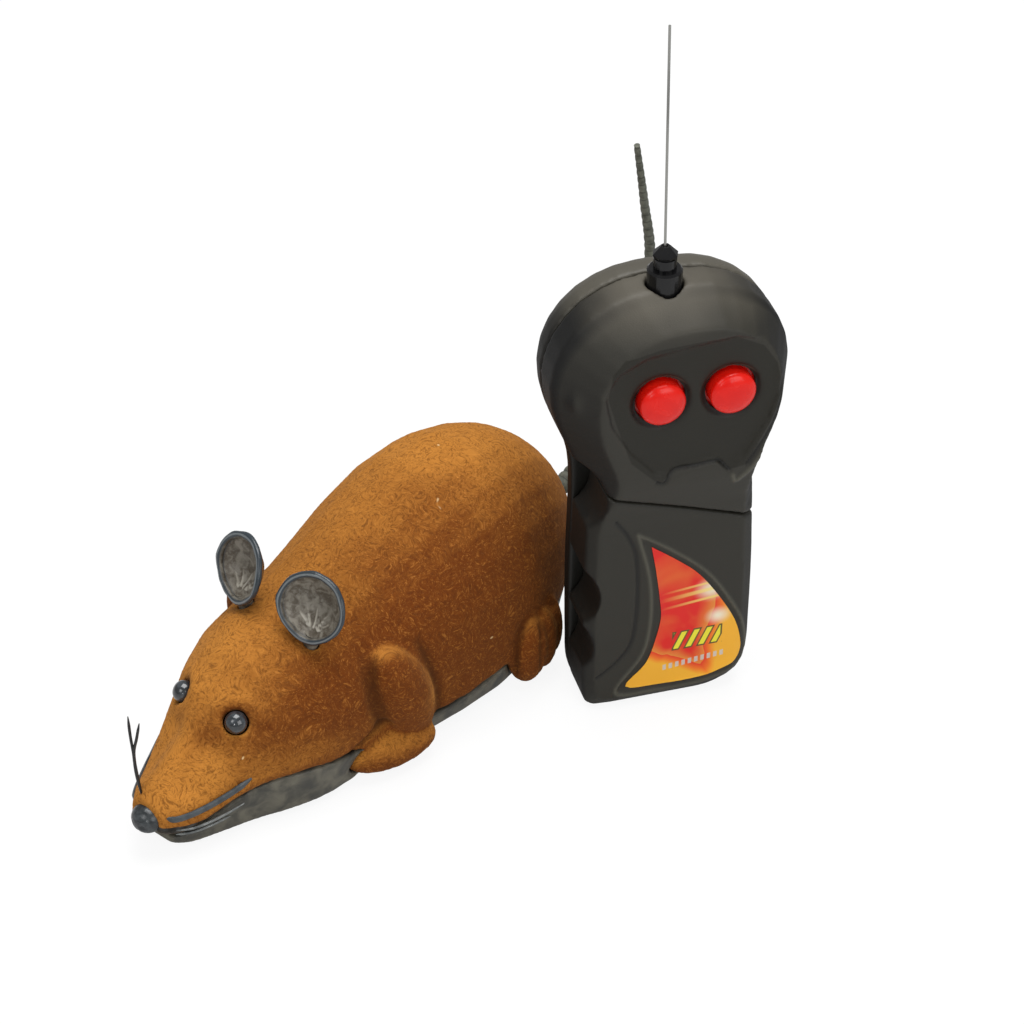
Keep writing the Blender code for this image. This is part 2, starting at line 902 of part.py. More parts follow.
def build_face():
    grey = material("gloss_grey_plastic", (0.05, 0.055, 0.06), 0.2)
    centre = on_body(nose_shares)
    nose = ellipsoid(centre, nose_radii, segments=20, rings=12)
    ahead = Vector((0, fit_gap, 0))
    rings = [[point - ahead for point in arch(0, -fit_gap, fit_gap)]]
    cut(nose, loft(rings + [arch(position, -fit_gap, fit_gap) for position in stations(0, 3)]))
    end = centre.y + nose_stem_length
    start = centre.y - nose_radii[1] * 0.5
    join(nose, rod((0, start, centre.z), (0, end, centre.z), nose_stem_radius, segments=16))
    piece(nose, "nose", grey, mouse_pieces)
    for side, name in ((1, "eye_left"), (-1, "eye_right")):
        place = on_body(eye_shares, side)
        eye = ellipsoid(place, [eye_radius] * 3, segments=14, rings=8)
        piece(eye, name, material("gloss_black", (0.01, 0.01, 0.012), 0.08), mouse_pieces, place, 60)


def build_whiskers():
    root = on_body(whisker_root_shares)
    plug = rod(root - Vector((0, 0, whisker_plug_length / 2)), root, whisker_plug_radius, segments=12)
    bend = root + Vector(whisker_bend_shares) * whisker_length
    for shares in whisker_tip_shares:
        foot = root - Vector((0, 0, whisker_plug_length / 4))
        tip = root + Vector(shares) * whisker_length
        path = smooth_path((foot, bend, tip), whisker_point_pitch)
        radii = [whisker_radius * (1 - 0.5 * index / len(path)) for index in range(len(path))]
        join(plug, tube(path, radii, 1))
    piece(plug, "whisker_tuft", material("black_nylon", (0.01, 0.01, 0.01), 0.4), mouse_pieces)


def build_ears():
    outer = ear_radius
    rim = ear_rim_radius
    profile = [(0, -ear_depth)]
    for step in range(1, 5):
        share = step / 5
        profile.append((share * outer * 0.96, -ear_depth * (1 - share ** 2.2)))
    for step in range(5):
        angle = math.radians(200 - step * 230 / 4)
        profile.append((outer - rim + rim * math.cos(angle), rim * math.sin(angle)))
    for step in range(4, 0, -1):
        share = step / 5
        profile.append((share * outer * 0.94, -ear_depth * (1 - share ** 2.2) - ear_wall))
    profile.append((0, -ear_depth - ear_wall))
    for side, name in ((1, "ear_left"), (-1, "ear_right")):
        ear = turned(profile, 20)
        for vertex in ear.data.vertices:
            low = max(0.0, -vertex.co.y / outer)
            vertex.co.x *= 1 - ear_pinch_share * low ** 2
            vertex.co.z += ear_depth * 0.30 * (vertex.co.x / outer) ** 2
        ear.data.transform(ear_frame(side))
        start, end = ear_stem_ends(side)
        join(ear, rod(start, end, ear_stem_radius, segments=10))
        piece(ear, name, material("grey_vinyl", (0.10, 0.10, 0.10), 0.4), mouse_pieces, (0, 0, 0), 50)


def build_tail():
    path = smooth_path(tail_path(), tail_ring_pitch / 2)
    radii = []
    for index in range(len(path)):
        share = index / (len(path) - 1)
        radius = tail_root_radius + (tail_tip_radius - tail_root_radius) * share ** 0.8
        radii.append(radius * (1 if index % 2 or index < 6 else tail_ring_step_share))
    tail = tube(path, radii)
    piece(tail, "tail", material("grey_green_rubber", (0.13, 0.15, 0.12), 0.6), mouse_pieces, tail_path()[0])


# Wheels and axle

def axle_z():
    return wheel_radius


def wheel_outer_x():
    return wheel_inner_x + wheel_width


def build_wheels():
    rim = wheel_radius - tyre_depth
    for side, label in ((1, "left"), (-1, "right")):
        axis = "X" if side > 0 else "-X"
        place = (side * wheel_inner_x, axle_y, axle_z())
        web = wheel_width * hub_web_share
        hub = placed(turned([
            (0, wheel_width), (hub_radius, wheel_width), (hub_radius, web), (rim * 0.80, web),
            (rim * 0.86, wheel_width), (rim - fit_gap, wheel_width), (rim - fit_gap, 0),
            (rim * 0.86, 0), (0, 0),
        ], 24), place, axis)
        for number in range(spoke_holes):
            angle = turn * number / spoke_holes
            reach = (hub_radius + rim * 0.80) / 2
            spot = (place[1] + reach * math.cos(angle), place[2] + reach * math.sin(angle))
            hole = rod((place[0] - side * overrun, *spot),
                       (place[0] + side * (wheel_width + overrun), *spot), rim * 0.17, segments=6)
            cut(hub, hole)
        bore_end = place[0] + side * (wheel_width - 2 * axle_end)
        cut(hub, rod((place[0] - side * overrun, *place[1:]), (bore_end, *place[1:]),
                     axle_radius + fit_gap, segments=12))
        piece(hub, "wheel_" + label, material("black_plastic", (0.02, 0.02, 0.02), 0.4), mouse_pieces, place)
        crown = wheel_radius - 0.25 * tyre_depth
        tyre = placed(turned([
            (rim, wheel_width), (crown, wheel_width), (wheel_radius, wheel_width * 0.8),
            (wheel_radius, wheel_width * 0.2), (crown, 0), (rim, 0), (rim, wheel_width),
        ], 24), place, axis)
        piece(tyre, "tyre_" + label, material("black_rubber", (0.015, 0.015, 0.015), 0.8), mouse_pieces,
              place)


def build_axle():
    reach = wheel_outer_x() - 3 * axle_end
    axle = rod((-reach, axle_y, axle_z()), (reach, axle_y, axle_z()), axle_radius, segments=12)
    piece(axle, "drive_axle", material("steel", (0.6, 0.6, 0.6), 0.25, 1.0), mouse_pieces,
          (0, axle_y, axle_z()))


def add_wells(chassis):
    """Closed drums over the wheels, open through the floor."""
    inner = wheel_radius + well_clearance
    outer = inner + well_wall
    room = well_clearance / 2
    for side in (1, -1):
        near = wheel_inner_x - room
        far = wheel_outer_x() + room
        centre = (axle_y, axle_z())
        drum = rod((side * (near - well_wall), *centre), (side * (far + well_wall), *centre), outer,
                   segments=20)
        floor = box((-body_width, 0, -body_height),
                    (body_width, 2 * body_length, ground_clearance + chassis_wall / 2))
        join(chassis, cut(drum, floor))
        cut(chassis, rod((side * near, *centre), (side * far, *centre), inner, segments=20))
    cut(chassis, rod((-wheel_outer_x(), axle_y, axle_z()), (wheel_outer_x(), axle_y, axle_z()),
                     axle_radius + fit_gap, segments=10))


# Gear train

def gear_pitch(teeth):
    return teeth * gear_module / 2


def gear_centre(stage):
    """Centre of the axle gear (0), the idler (1) or the pinion (2) in Y and Z."""
    first = gear_pitch(axle_gear_teeth) + gear_pitch(idler_small_teeth) + centre_clearance
    second = gear_pitch(idler_large_teeth) + gear_pitch(pinion_teeth) + centre_clearance
    reach = (0, first, first + second)[stage]
    return (axle_y + reach * math.cos(gear_line_angle), axle_z() + reach * math.sin(gear_line_angle))


def involute(angle):
    return math.tan(angle) - angle


def tooth_half_angle(teeth, radius):
    """Half of a tooth's angular thickness at a radius, on an involute flank."""
    pitch = gear_pitch(teeth)
    base = pitch * math.cos(pressure_angle)
    at_pitch = math.pi / (2 * teeth) * tooth_thickness_share
    slant = math.acos(min(1, base / radius))
    return at_pitch + involute(pressure_angle) - involute(slant)


def gear(teeth, start, end, stage, phase):
    """A spur gear between two X levels, one tooth centred on the phase angle."""
    pitch = gear_pitch(teeth)
    root = pitch - dedendum_share * gear_module
    tip = pitch + addendum_share * gear_module
    base = max(root, pitch * math.cos(pressure_angle))
    centre = gear_centre(stage)
    outline = []
    for tooth in range(teeth):
        middle = phase + turn * tooth / teeth
        flank = [(root, tooth_half_angle(teeth, base)), (tip, tooth_half_angle(teeth, tip))]
        for radius, half in flank:
            outline.append((radius, middle - half))
        for radius, half in reversed(flank):
            outline.append((radius, middle + half))
    points = [(centre[0] + radius * math.cos(angle), centre[1] + radius * math.sin(angle))
              for radius, angle in outline]
    return plate(points, start, end, "YZ")


def gear_levels():
    """X levels of the first stage (pinion and large idler) and of the second stage."""
    first = gearbox_inner_x + gearbox_wall + gear_side_gap
    second = first + gear_stage_width + gear_side_gap
    return first, second, second + gear_stage_width


def gearbox_far_x():
    return gear_levels()[2] + gear_side_gap + gearbox_wall


def build_gears():
    first, second, end = gear_levels()
    brass = material("brass", (0.60, 0.42, 0.16), 0.3, 1.0)
    nylon = material("white_nylon", (0.75, 0.74, 0.70), 0.45)
    line = gear_line_angle
    axle_gear = gear(axle_gear_teeth, second, end, 0, line)
    spot = gear_centre(0)
    cut(axle_gear, rod((0, *spot), (end + overrun, *spot), axle_radius + fit_gap, segments=16))
    piece(axle_gear, "axle_gear", nylon, mouse_pieces, (second, *spot), 20)
    spot = gear_centre(1)
    idler = gear(idler_large_teeth, first, first + gear_stage_width, 1, line)
    small = gear(idler_small_teeth, first + gear_stage_width / 2, end, 1,
                 line + math.pi + math.pi / idler_small_teeth)
    join(idler, small)
    cut(idler, rod((0, *spot), (end + overrun, *spot), idler_pin_radius + fit_gap, segments=14))
    piece(idler, "idler_gear", nylon, mouse_pieces, (first, *spot), 20)
    pin = rod((gearbox_inner_x + fit_gap, *spot), (gearbox_far_x() - fit_gap, *spot), idler_pin_radius,
              segments=14)
    piece(pin, "idler_pin", material("steel", (0.6, 0.6, 0.6), 0.25, 1.0), mouse_pieces, (first, *spot))
    spot = gear_centre(2)
    pinion = gear(pinion_teeth, first, first + gear_stage_width, 2, line + math.pi + math.pi / pinion_teeth)
    cut(pinion, rod((0, *spot), (end, *spot), motor_shaft_radius + fit_gap, segments=12))
    piece(pinion, "motor_pinion", brass, mouse_pieces, (first, *spot), 20)


def gearbox_outline(grow):
    """A slot-shaped outline round the three gear centres, in Y and Z."""
    radius = gear_pitch(axle_gear_teeth) + addendum_share * gear_module + grow
    low = gear_centre(0)
    high = gear_centre(2)
    points = []
    for step in range(13):
        angle = gear_line_angle - math.pi / 2 - math.pi * step / 12
        points.append((low[0] + radius * math.cos(angle), low[1] + radius * math.sin(angle)))
    for step in range(13):
        angle = gear_line_angle + math.pi / 2 - math.pi * step / 12
        points.append((high[0] + radius * math.cos(angle), high[1] + radius * math.sin(angle)))
    return points


def build_gearbox():
    first, second, end = gear_levels()
    grey = material("grey_nylon", (0.30, 0.31, 0.30), 0.5)
    room = gearbox_room
    split = gearbox_far_x() - gearbox_wall
    housing = plate(gearbox_outline(room + gearbox_wall), gearbox_inner_x, split - fit_gap, "YZ")
    cut(housing, plate(gearbox_outline(room), gearbox_inner_x + gearbox_wall, split + overrun, "YZ"))
    cover = plate(gearbox_outline(room + gearbox_wall), split, gearbox_far_x(), "YZ")
    for half in (housing, cover):
        axle_spot = gear_centre(0)
        cut(half, rod((0, *axle_spot), (wheel_inner_x, *axle_spot), axle_radius + fit_gap, segments=16))
        idler_spot = gear_centre(1)
        cut(half, rod((0, *idler_spot), (wheel_inner_x, *idler_spot), idler_pin_radius + fit_gap,
                      segments=14))
    spot = gear_centre(2)
    cut(housing, rod((0, *spot), (first, *spot), motor_boss_radius + fit_gap, segments=20))
    piece(housing, "gearbox_housing", grey, mouse_pieces)
    piece(cover, "gearbox_cover", grey, mouse_pieces)


def build_motor():
    y, z = gear_centre(2)
    end = gearbox_inner_x - fit_gap
    start = end - motor_length
    motor = rod((start, y, z), (end, y, z), motor_radius, segments=24)
    keep(motor, box((start - overrun, y - motor_radius, z - motor_flat),
                    (end + overrun, y + motor_radius, z + motor_flat)))
    join(motor, rod((end - overrun, y, z), (end + motor_boss_length, y, z), motor_boss_radius, segments=14))
    join(motor, rod((start - motor_boss_length, y, z), (start + overrun, y, z), motor_boss_radius,
                    segments=14))
    piece(motor, "drive_motor", material("zinc_steel", (0.45, 0.45, 0.44), 0.35, 1.0), mouse_pieces,
          (start, y, z))


def add_gearbox_window(chassis):
    """The floor opening that the bottom of the gearbox hangs in."""
    opening = plate(gearbox_outline(gearbox_room + gearbox_wall + fit_gap), gearbox_inner_x - fit_gap,
                    gearbox_far_x() + fit_gap, "YZ")
    cut(chassis, opening)


# Front caster

def caster_axle():
    return (caster_y + caster_trail, caster_wheel_radius)


def caster_crown_z():
    return caster_wheel_radius * 2 + caster_pocket_gap


def caster_lid():
    """Height of the jaw's upper face over the caster, where its cap snaps in."""
    row = row_at(caster_y)
    return body_row(row)[4] - jaw_gap(row)


def add_caster_pocket(chassis):
    reach = caster_trail + caster_wheel_radius + caster_pocket_gap
    roof = caster_crown_z() + caster_crown_thickness + fit_gap
    cut(chassis, rod((0, caster_y, -overrun), (0, caster_y, roof), reach, segments=22))
    cut(chassis, rod((0, caster_y, 0), (0, caster_y, body_height), caster_stem_radius + fit_gap, segments=12))
    lid = caster_lid()
    cut(chassis, rod((0, caster_y, lid), (0, caster_y, body_height), caster_cap_radius + fit_gap,
                     segments=12))


def build_caster():
    y, z = caster_axle()
    crown = caster_crown_z()
    top = crown + caster_crown_thickness
    room = caster_wheel_width / 2 + fit_gap
    outer = room + caster_arm_thickness
    half = caster_arm_width / 2
    side_view = [
        (caster_y - half, top), (caster_y - half, crown), (y - half, z), (y - half * 0.6, z - half * 0.8),
        (y + half * 0.6, z - half * 0.8), (y + half, z), (y + half, crown), (y, top),
    ]
    yoke = plate(side_view, -outer, outer, "YZ")
    cut(yoke, box((-room, 0, 0), (room, body_length, crown)))
    join(yoke, rod((0, caster_y, crown + fit_gap), (0, caster_y, top - fit_gap / 2), outer + fit_gap,
                   segments=16))
    lid = caster_lid()
    stem_top = lid + fit_gap + caster_cap_thickness
    join(yoke, rod((0, caster_y, top - 2 * fit_gap), (0, caster_y, stem_top - fit_gap), caster_stem_radius,
                   segments=12))
    cap = rod((0, caster_y, lid + fit_gap), (0, caster_y, stem_top), caster_cap_radius, caster_stem_radius,
              segments=12)
    join(yoke, cap)
    cut(yoke, rod((-outer - overrun, y, z), (outer + overrun, y, z), caster_pin_radius + fit_gap,
                  segments=14))
    piece(yoke, "caster_yoke", material("dark_grey_plastic", (0.035, 0.036, 0.035), 0.45), mouse_pieces,
          (0, caster_y, 0))
    half_width = caster_wheel_width / 2
    wheel = placed(turned([
        (0, caster_wheel_width), (caster_wheel_radius * 0.85, caster_wheel_width),
        (caster_wheel_radius, caster_wheel_width * 0.75), (caster_wheel_radius, caster_wheel_width * 0.25),
        (caster_wheel_radius * 0.85, 0), (0, 0),
    ], 20), (-half_width, y, z), "X")
    cut(wheel, rod((-overrun, y, z), (overrun, y, z), caster_pin_radius + fit_gap, segments=14))
    piece(wheel, "caster_wheel", material("black_plastic", (0.02, 0.02, 0.02), 0.4), mouse_pieces, (0, y, z))
    pin = rod((-outer + fit_gap, y, z), (outer - fit_gap, y, z), caster_pin_radius, segments=14)
    piece(pin, "caster_pin", material("steel", (0.6, 0.6, 0.6), 0.25, 1.0), mouse_pieces, (0, y, z))


# Cells, contacts and doors

def cell(radius, length, nub_radius, nub_length):
    """A round dry cell standing on its flat end, its nub up."""
    edge = radius * 0.08
    return turned([
        (0, length + nub_length), (nub_radius, length + nub_length), (nub_radius, length),
        (radius - edge, length), (radius, length - edge), (radius, edge), (radius - edge, 0), (0, 0),
    ], 18)


def contact_plate(width, height, springs, reach, coil_radius):
    """A stamped plate in the XY plane with wire springs that stand up along Z."""
    plate_block = box((-width / 2, -height / 2, 0), (width / 2, height / 2, contact_thickness))
    for across in springs:
        points = []
        start = contact_thickness / 2
        rise = reach - contact_thickness - spring_wire
        count = spring_turns * spring_points
        for step in range(count + 1):
            angle = turn * step / spring_points
            radius = coil_radius * (1 - 0.35 * step / count)
            points.append((across + radius * math.cos(angle), radius * math.sin(angle),
                           start + rise * step / count))
        join(plate_block, tube(points, [spring_wire] * len(points), 1))
    return plate_block


def bay_levels():
    """Inner half width, front, back, floor and roof of the mouse's battery bay."""
    half = cell_spacing / 2 + cell_radius + fit_gap
    back = cell_front_y + cell_length + cell_nub_length + bay_room
    floor = ground_clearance + door_thickness
    roof = floor + fit_gap + 2 * cell_radius + fit_gap
    return half, cell_front_y - bay_room, back, floor, roof


def door_screw_place():
    return (0, bay_levels()[2] + door_ear_length / 2)


def add_bay(chassis):
    half, front, back, floor, roof = bay_levels()
    step = bay_rim / 2
    low = ground_clearance + chassis_wall / 2
    shell = box((-half - bay_wall - step, front - bay_wall, low),
                (half + bay_wall + step, back + bay_wall, roof + bay_wall))
    join(chassis, shell)
    for side in (1, -1):
        for y in (front + board_post_inset + bay_rim, front + board_length - board_post_inset):
            top = roof + bay_wall + board_lift
            x = side * (board_half_width - board_post_inset)
            join(chassis, rod((x, y, roof + bay_wall / 2), (x, y, top), board_post_radius, segments=8))
    screw = door_screw_place()
    boss_top = floor + door_screw_length
    join(chassis, rod((*screw, low), (*screw, boss_top), door_ear_length / 2, segments=12))
    cut(chassis, box((-half, front, -overrun), (half, back, roof)))
    cut(chassis, box((-half - step, front - step, -overrun), (half + step, back + step, floor)))
    ear = box((-door_ear_length / 2, back, -overrun), (door_ear_length / 2, back + door_ear_length, floor))
    cut(chassis, ear)
    cut(chassis, rod((*screw, 0), (*screw, boss_top - door_thickness), door_screw_radius + fit_gap,
                     segments=10))


def build_battery_door():
    half, front, back, floor, roof = bay_levels()
    step = bay_rim / 2 - fit_gap
    low = ground_clearance
    high = floor - fit_gap
    half_ear = door_ear_length / 2 - fit_gap
    outline = [
        (half + step, front - step), (half + step, back + step), (half_ear, back + step),
        (half_ear, back + 2 * half_ear), (-half_ear, back + 2 * half_ear), (-half_ear, back + step),
        (-half - step, back + step), (-half - step, front - step),
    ]
    door = plate(outline, low, high)
    x, y = door_screw_place()
    cut(door, rod((x, y, 0), (x, y, floor), door_screw_radius + fit_gap, segments=16))
    cut(door, rod((x, y, 0), (x, y, low + door_thickness / 2), door_screw_head + fit_gap, segments=20))
    piece(door, "battery_door", material("dark_grey_plastic", (0.035, 0.036, 0.035), 0.45), mouse_pieces)
    head_top = low + door_thickness / 2 - fit_gap
    screw = rod((x, y, low), (x, y, head_top), door_screw_head, segments=14)
    join(screw, rod((x, y, head_top - fit_gap), (x, y, low + door_screw_length - door_thickness),
                    door_screw_radius, segments=10))
    piece(screw, "battery_door_screw", material("steel", (0.6, 0.6, 0.6), 0.25, 1.0), mouse_pieces,
          (x, y, low))


def build_cells():
    half, front, back, floor, roof = bay_levels()
    z = floor + cell_radius + fit_gap / 2
    silver = material("cell_label", (0.25, 0.25, 0.27), 0.35)
    plated = material("nickel", (0.7, 0.68, 0.62), 0.25, 1.0)
    for side, label, axis in ((1, "left", "Y"), (-1, "right", "-Y")):
        start = cell_front_y if side > 0 else cell_front_y + cell_length + cell_nub_length
        body = placed(cell(cell_radius, cell_length, cell_nub_radius, cell_nub_length),
                      (side * cell_spacing / 2, start, z), axis)
        piece(body, "cell_" + label, silver, mouse_pieces, (side * cell_spacing / 2, start, z))
    height = cell_radius * 1.2
    coil = cell_radius * 0.55
    reach = bay_room - fit_gap - contact_gap
    offset = cell_spacing / 2
    minus = placed(contact_plate(height, height, (0,), reach, coil), (offset, front + contact_gap, z), "Y")
    piece(minus, "contact_minus", plated, mouse_pieces, (offset, front, z))
    plus = placed(contact_plate(height, height, (), reach, coil), (-offset, front + contact_gap, z), "Y")
    join(plus, rod((-offset, front + contact_gap + contact_thickness / 2, z), (-offset, front + reach, z),
                   cell_nub_radius, segments=14))
    piece(plus, "contact_plus", plated, mouse_pieces, (-offset, front, z))
    bridge = contact_plate(cell_spacing + height, height, (), reach, coil)
    placed(bridge, (0, back - contact_gap, z), "-Y")
    join(bridge, placed(contact_plate(height, height, (0,), reach, coil), (-offset, back - contact_gap, z),
                        "-Y"))
    join(bridge, rod((offset, back - contact_gap - contact_thickness / 2, z), (offset, back - reach, z),
                     cell_nub_radius, segments=14))
    piece(bridge, "contact_bridge", plated, mouse_pieces, (0, back, z))


def build_receiver_board():
    half, front, back, floor, roof = bay_levels()
    low = roof + bay_wall + board_lift + fit_gap
    high = low + board_thickness
    start = front + bay_rim
    board = box((-board_half_width, start, low), (board_half_width, start + board_length, high))
    chip = box((-0.3 * board_half_width, start + 0.30 * board_length, low + fit_gap),
               (0.35 * board_half_width, start + 0.60 * board_length, high + 2 * board_thickness))
    coil_can = rod((-0.6 * board_half_width, start + 0.22 * board_length, low + fit_gap),
                   (-0.6 * board_half_width, start + 0.22 * board_length,
                    high + 4 * board_thickness), 0.2 * board_half_width, segments=16)
    capacitor = rod((0.62 * board_half_width, start + 0.75 * board_length, low + fit_gap),
                    (0.62 * board_half_width, start + 0.75 * board_length,
                     high + 5 * board_thickness), 0.2 * board_half_width, segments=16)
    crystal = box((0.45 * board_half_width, start + 0.15 * board_length, low + fit_gap),
                  (0.85 * board_half_width, start + 0.45 * board_length, high + 3 * board_thickness))
    join(board, chip, coil_can, capacitor, crystal)
    piece(board, "receiver_board", material("green_board", (0.04, 0.16, 0.06), 0.4), mouse_pieces)


# Switch and case screws

def add_switch_window(chassis):
    x, y = switch_place
    half = switch_knob_size[0] / 2 + fit_gap
    reach = switch_knob_size[1] / 2 + switch_travel / 2 + fit_gap
    cut(chassis, box((x - half, y - reach, -overrun),
                     (x + half, y + reach, ground_clearance + chassis_wall + overrun / 2)))


def build_switch():
    x, y = switch_place
    floor = ground_clearance + chassis_wall
    wide, long, tall = switch_body_size
    low = floor + fit_gap / 2
    body = box((x - wide / 2, y - long / 2, low), (x + wide / 2, y + long / 2, low + tall))
    half = switch_knob_size[0] / 2
    reach = switch_knob_size[1] / 2
    depth = tall / 2
    cut(body, box((x - half - fit_gap, y - reach - switch_travel / 2 - fit_gap, 0),
                  (x + half + fit_gap, y + reach + switch_travel / 2 + fit_gap, low + depth)))
    piece(body, "switch_body", material("nickel", (0.7, 0.68, 0.62), 0.25, 1.0), mouse_pieces)
    rest = y - switch_travel / 2
    knob = box((x - half, rest - reach, switch_knob_drop), (x + half, rest + reach, low + depth - fit_gap))
    piece(knob, "switch_knob", material("black_plastic", (0.02, 0.02, 0.02), 0.4), mouse_pieces,
          (x, rest, switch_knob_drop))


def screw_floor(place):
    """Height of the chassis floor's outside at a case screw."""
    return floor_height(row_at(place[1])) if place[0] else ground_clearance


def add_screw_seat(chassis, place):
    floor = screw_floor(place)
    foot = ground_clearance + case_boss_foot
    low = floor + chassis_wall / 2
    cut(chassis, rod((*place, foot - 2 * fit_gap), (*place, body_height), case_boss_radius + fit_gap,
                     segments=12))
    join(chassis, rod((*place, low), (*place, foot - fit_gap), case_boss_radius, segments=12))
    cut(chassis, rod((*place, -overrun), (*place, body_height), case_screw_radius + fit_gap, segments=10))
    cut(chassis, rod((*place, -overrun), (*place, floor + case_screw_head_depth), case_screw_head + fit_gap,
                     segments=14))


def build_case_screws():
    steel = material("steel", (0.6, 0.6, 0.6), 0.25, 1.0)
    for place, label in zip(case_boss_places(), ("front", "left", "right")):
        floor = screw_floor(place)
        foot = ground_clearance + case_boss_foot
        top = foot + case_screw_length - 2 * fit_gap
        screw = rod((*place, floor + fit_gap), (*place, floor + case_screw_head_depth - fit_gap / 2),
                    case_screw_head, segments=14)
        join(screw, rod((*place, floor + 2 * fit_gap), (*place, top), case_screw_radius, segments=10))
        piece(screw, "case_screw_" + label, steel, mouse_pieces, (*place, floor))


# Transmitter casing

def half_outline(side):
    """Smooth half outline of the transmitter's face on one side, from the crown to the foot."""
    shares = remote_outline_shares
    if side < 0:
        shares = shares[:-len(remote_left_foot_shares)] + remote_left_foot_shares
    points = [Vector((across * remote_width / 2, up * remote_height)) for across, up in shares]
    count = (len(points) - 1) * remote_steps
    made = []
    for index in range(count + 1):
        point = smooth_value(points, index / remote_steps)
        made.append(Vector((max(point.x, 0), max(point.y, 0))))
    return made


def outline_distance(point, outline):
    """Shortest distance from a point to the half outline."""
    nearest = remote_height
    for here, after in zip(outline, outline[1:]):
        along = after - here
        share = min(max((point - here).dot(along) / max(along.length_squared, overrun ** 4), 0), 1)
        nearest = min(nearest, (point - here - along * share).length)
    return nearest


def inset_half(distance, side):
    """The half outline drawn in by a distance, each point on its way to the middle."""
    outline = half_outline(side)
    if not distance:
        return outline
    made = []
    for point in outline:
        low, high = remote_height * spine_shares[0], remote_height * spine_shares[1]
        middle = Vector((0, min(max(point.y, low), high)))
        near, far = 0.0, 1.0
        for _ in range(16):
            share = (near + far) / 2
            inside = outline_distance(point.lerp(middle, share), outline) < distance
            near, far = (share, far) if inside else (near, share)
        made.append(point.lerp(middle, (near + far) / 2))
    return made


def button_line():
    """Height of the buttons' line over the foot."""
    return remote_height - button_drop


def blend(height):
    """0 on the handle, 1 on the head, smooth between."""
    low = button_line() - waist_low_drop
    share = (height - low) / (waist_low_drop - waist_high_drop)
    share = min(max(share, 0), 1)
    return share * share * (3 - 2 * share)


def mix(low, high, share):
    return low + (high - low) * share


def remote_ring(level, inset):
    """A closed ring of the casing: level is a depth, or the crease or rim of the face."""
    ring = []
    for side in (1, -1):
        run = list(zip(inset_half(inset, side), half_outline(side)))
        if side < 0:
            run = run[-2:0:-1]
        for point, height in ((point, whole.y) for point, whole in run):
            share = blend(height)
            x, z, y = point.x, point.y, level
            if level == "crease":
                y = mix(remote_low_crease, remote_head_crease, share) + inset
            if level == "rim":
                y = mix(0, -remote_head_forward, share) + inset
                taper = mix(1 - 2 * remote_low_edge / (remote_width * remote_handle_share),
                            remote_head_taper_share, share)
                foot = remote_low_edge * max(0, 1 - z / (remote_height * 0.2))
                top = remote_height * 0.56 + (z - remote_height * 0.56) * remote_head_top_share
                z = mix(z + foot, top, share)
                ring.append(Vector((remote_head_shift * share + side * x * taper, y, z)))
                continue
            ring.append(Vector((side * x, y, z)))
    return ring


def strip_loft(rings):
    """A loft whose ends are strips across the outline, so that a bent face stays true."""
    work = bmesh.new()
    loops = [[work.verts.new(point) for point in ring] for ring in rings]
    total = len(loops[0])
    for here, after in zip(loops, loops[1:]):
        for index in range(total):
            beside = (index + 1) % total
            work.faces.new((here[index], here[beside], after[beside], after[index]))
    for loop in (loops[0], loops[-1]):
        last = total // 2
        flat = remote_steps + 1
        work.faces.new((loop[0], loop[1], loop[total - 1]))
        for index in range(1, last - flat):
            work.faces.new((loop[index], loop[index + 1], loop[total - index - 1], loop[total - index]))
        work.faces.new(loop[last - flat:last + flat + 1])
    return from_bmesh("casing", work)


def face_half(inset, back):
    """The front half of the casing, solid, drawn in by an inset."""
    return strip_loft([remote_ring(back, inset), remote_ring("crease", inset), remote_ring("rim", inset)])


def back_half(inset, front):
    """The back half of the casing, solid, drawn in by an inset."""
    depth = remote_depth - inset
    round_off = remote_back_round
    return strip_loft([
        remote_ring(front, inset),
        remote_ring(depth - round_off, inset + round_off * 0.06),
        remote_ring(depth - round_off * 0.35, inset + round_off * 0.30),
        remote_ring(depth, inset + round_off),
    ])


def seam_block(above, gap):
    """Everything above or below the slanting seam between the two front covers."""
    reach = remote_width
    far = remote_height * 2 if above else -remote_height
    shift = gap if above else -gap
    middle = button_line() - seam_drop + shift
    left = middle - seam_slope * reach
    right = middle + seam_slope * reach
    return plate([(-reach, left), (reach, right), (reach, far), (-reach, far)], -remote_depth,
                 remote_depth * 2, "XZ")


def button_places():
    middle = remote_head_shift + button_shift
    return ((middle - button_spacing / 2, button_line()), (middle + button_spacing / 2, button_line()))


def panel_outline():
    middle = remote_head_shift + button_shift
    return [(middle + across * panel_width, button_line() + up * panel_height)
            for across, up in panel_outline_shares]


def remote_screw_places():
    height = remote_height - remote_screw_drop
    return ((remote_screw_across, height), (-remote_screw_across, height))


def panel_level():
    return -remote_head_forward + panel_depth


def grip_scoop(up, bite, grow=0.0, end=None):
    """An upright finger hollow in the left edge of the front covers."""
    height = up * remote_height
    x = -remote_width / 2 * remote_outline_shares[9][0] - grip_radius + bite
    far = remote_parting + overrun if end is None else end
    return rod((x, -remote_depth, height), (x, far, height), grip_radius + grow, segments=24)


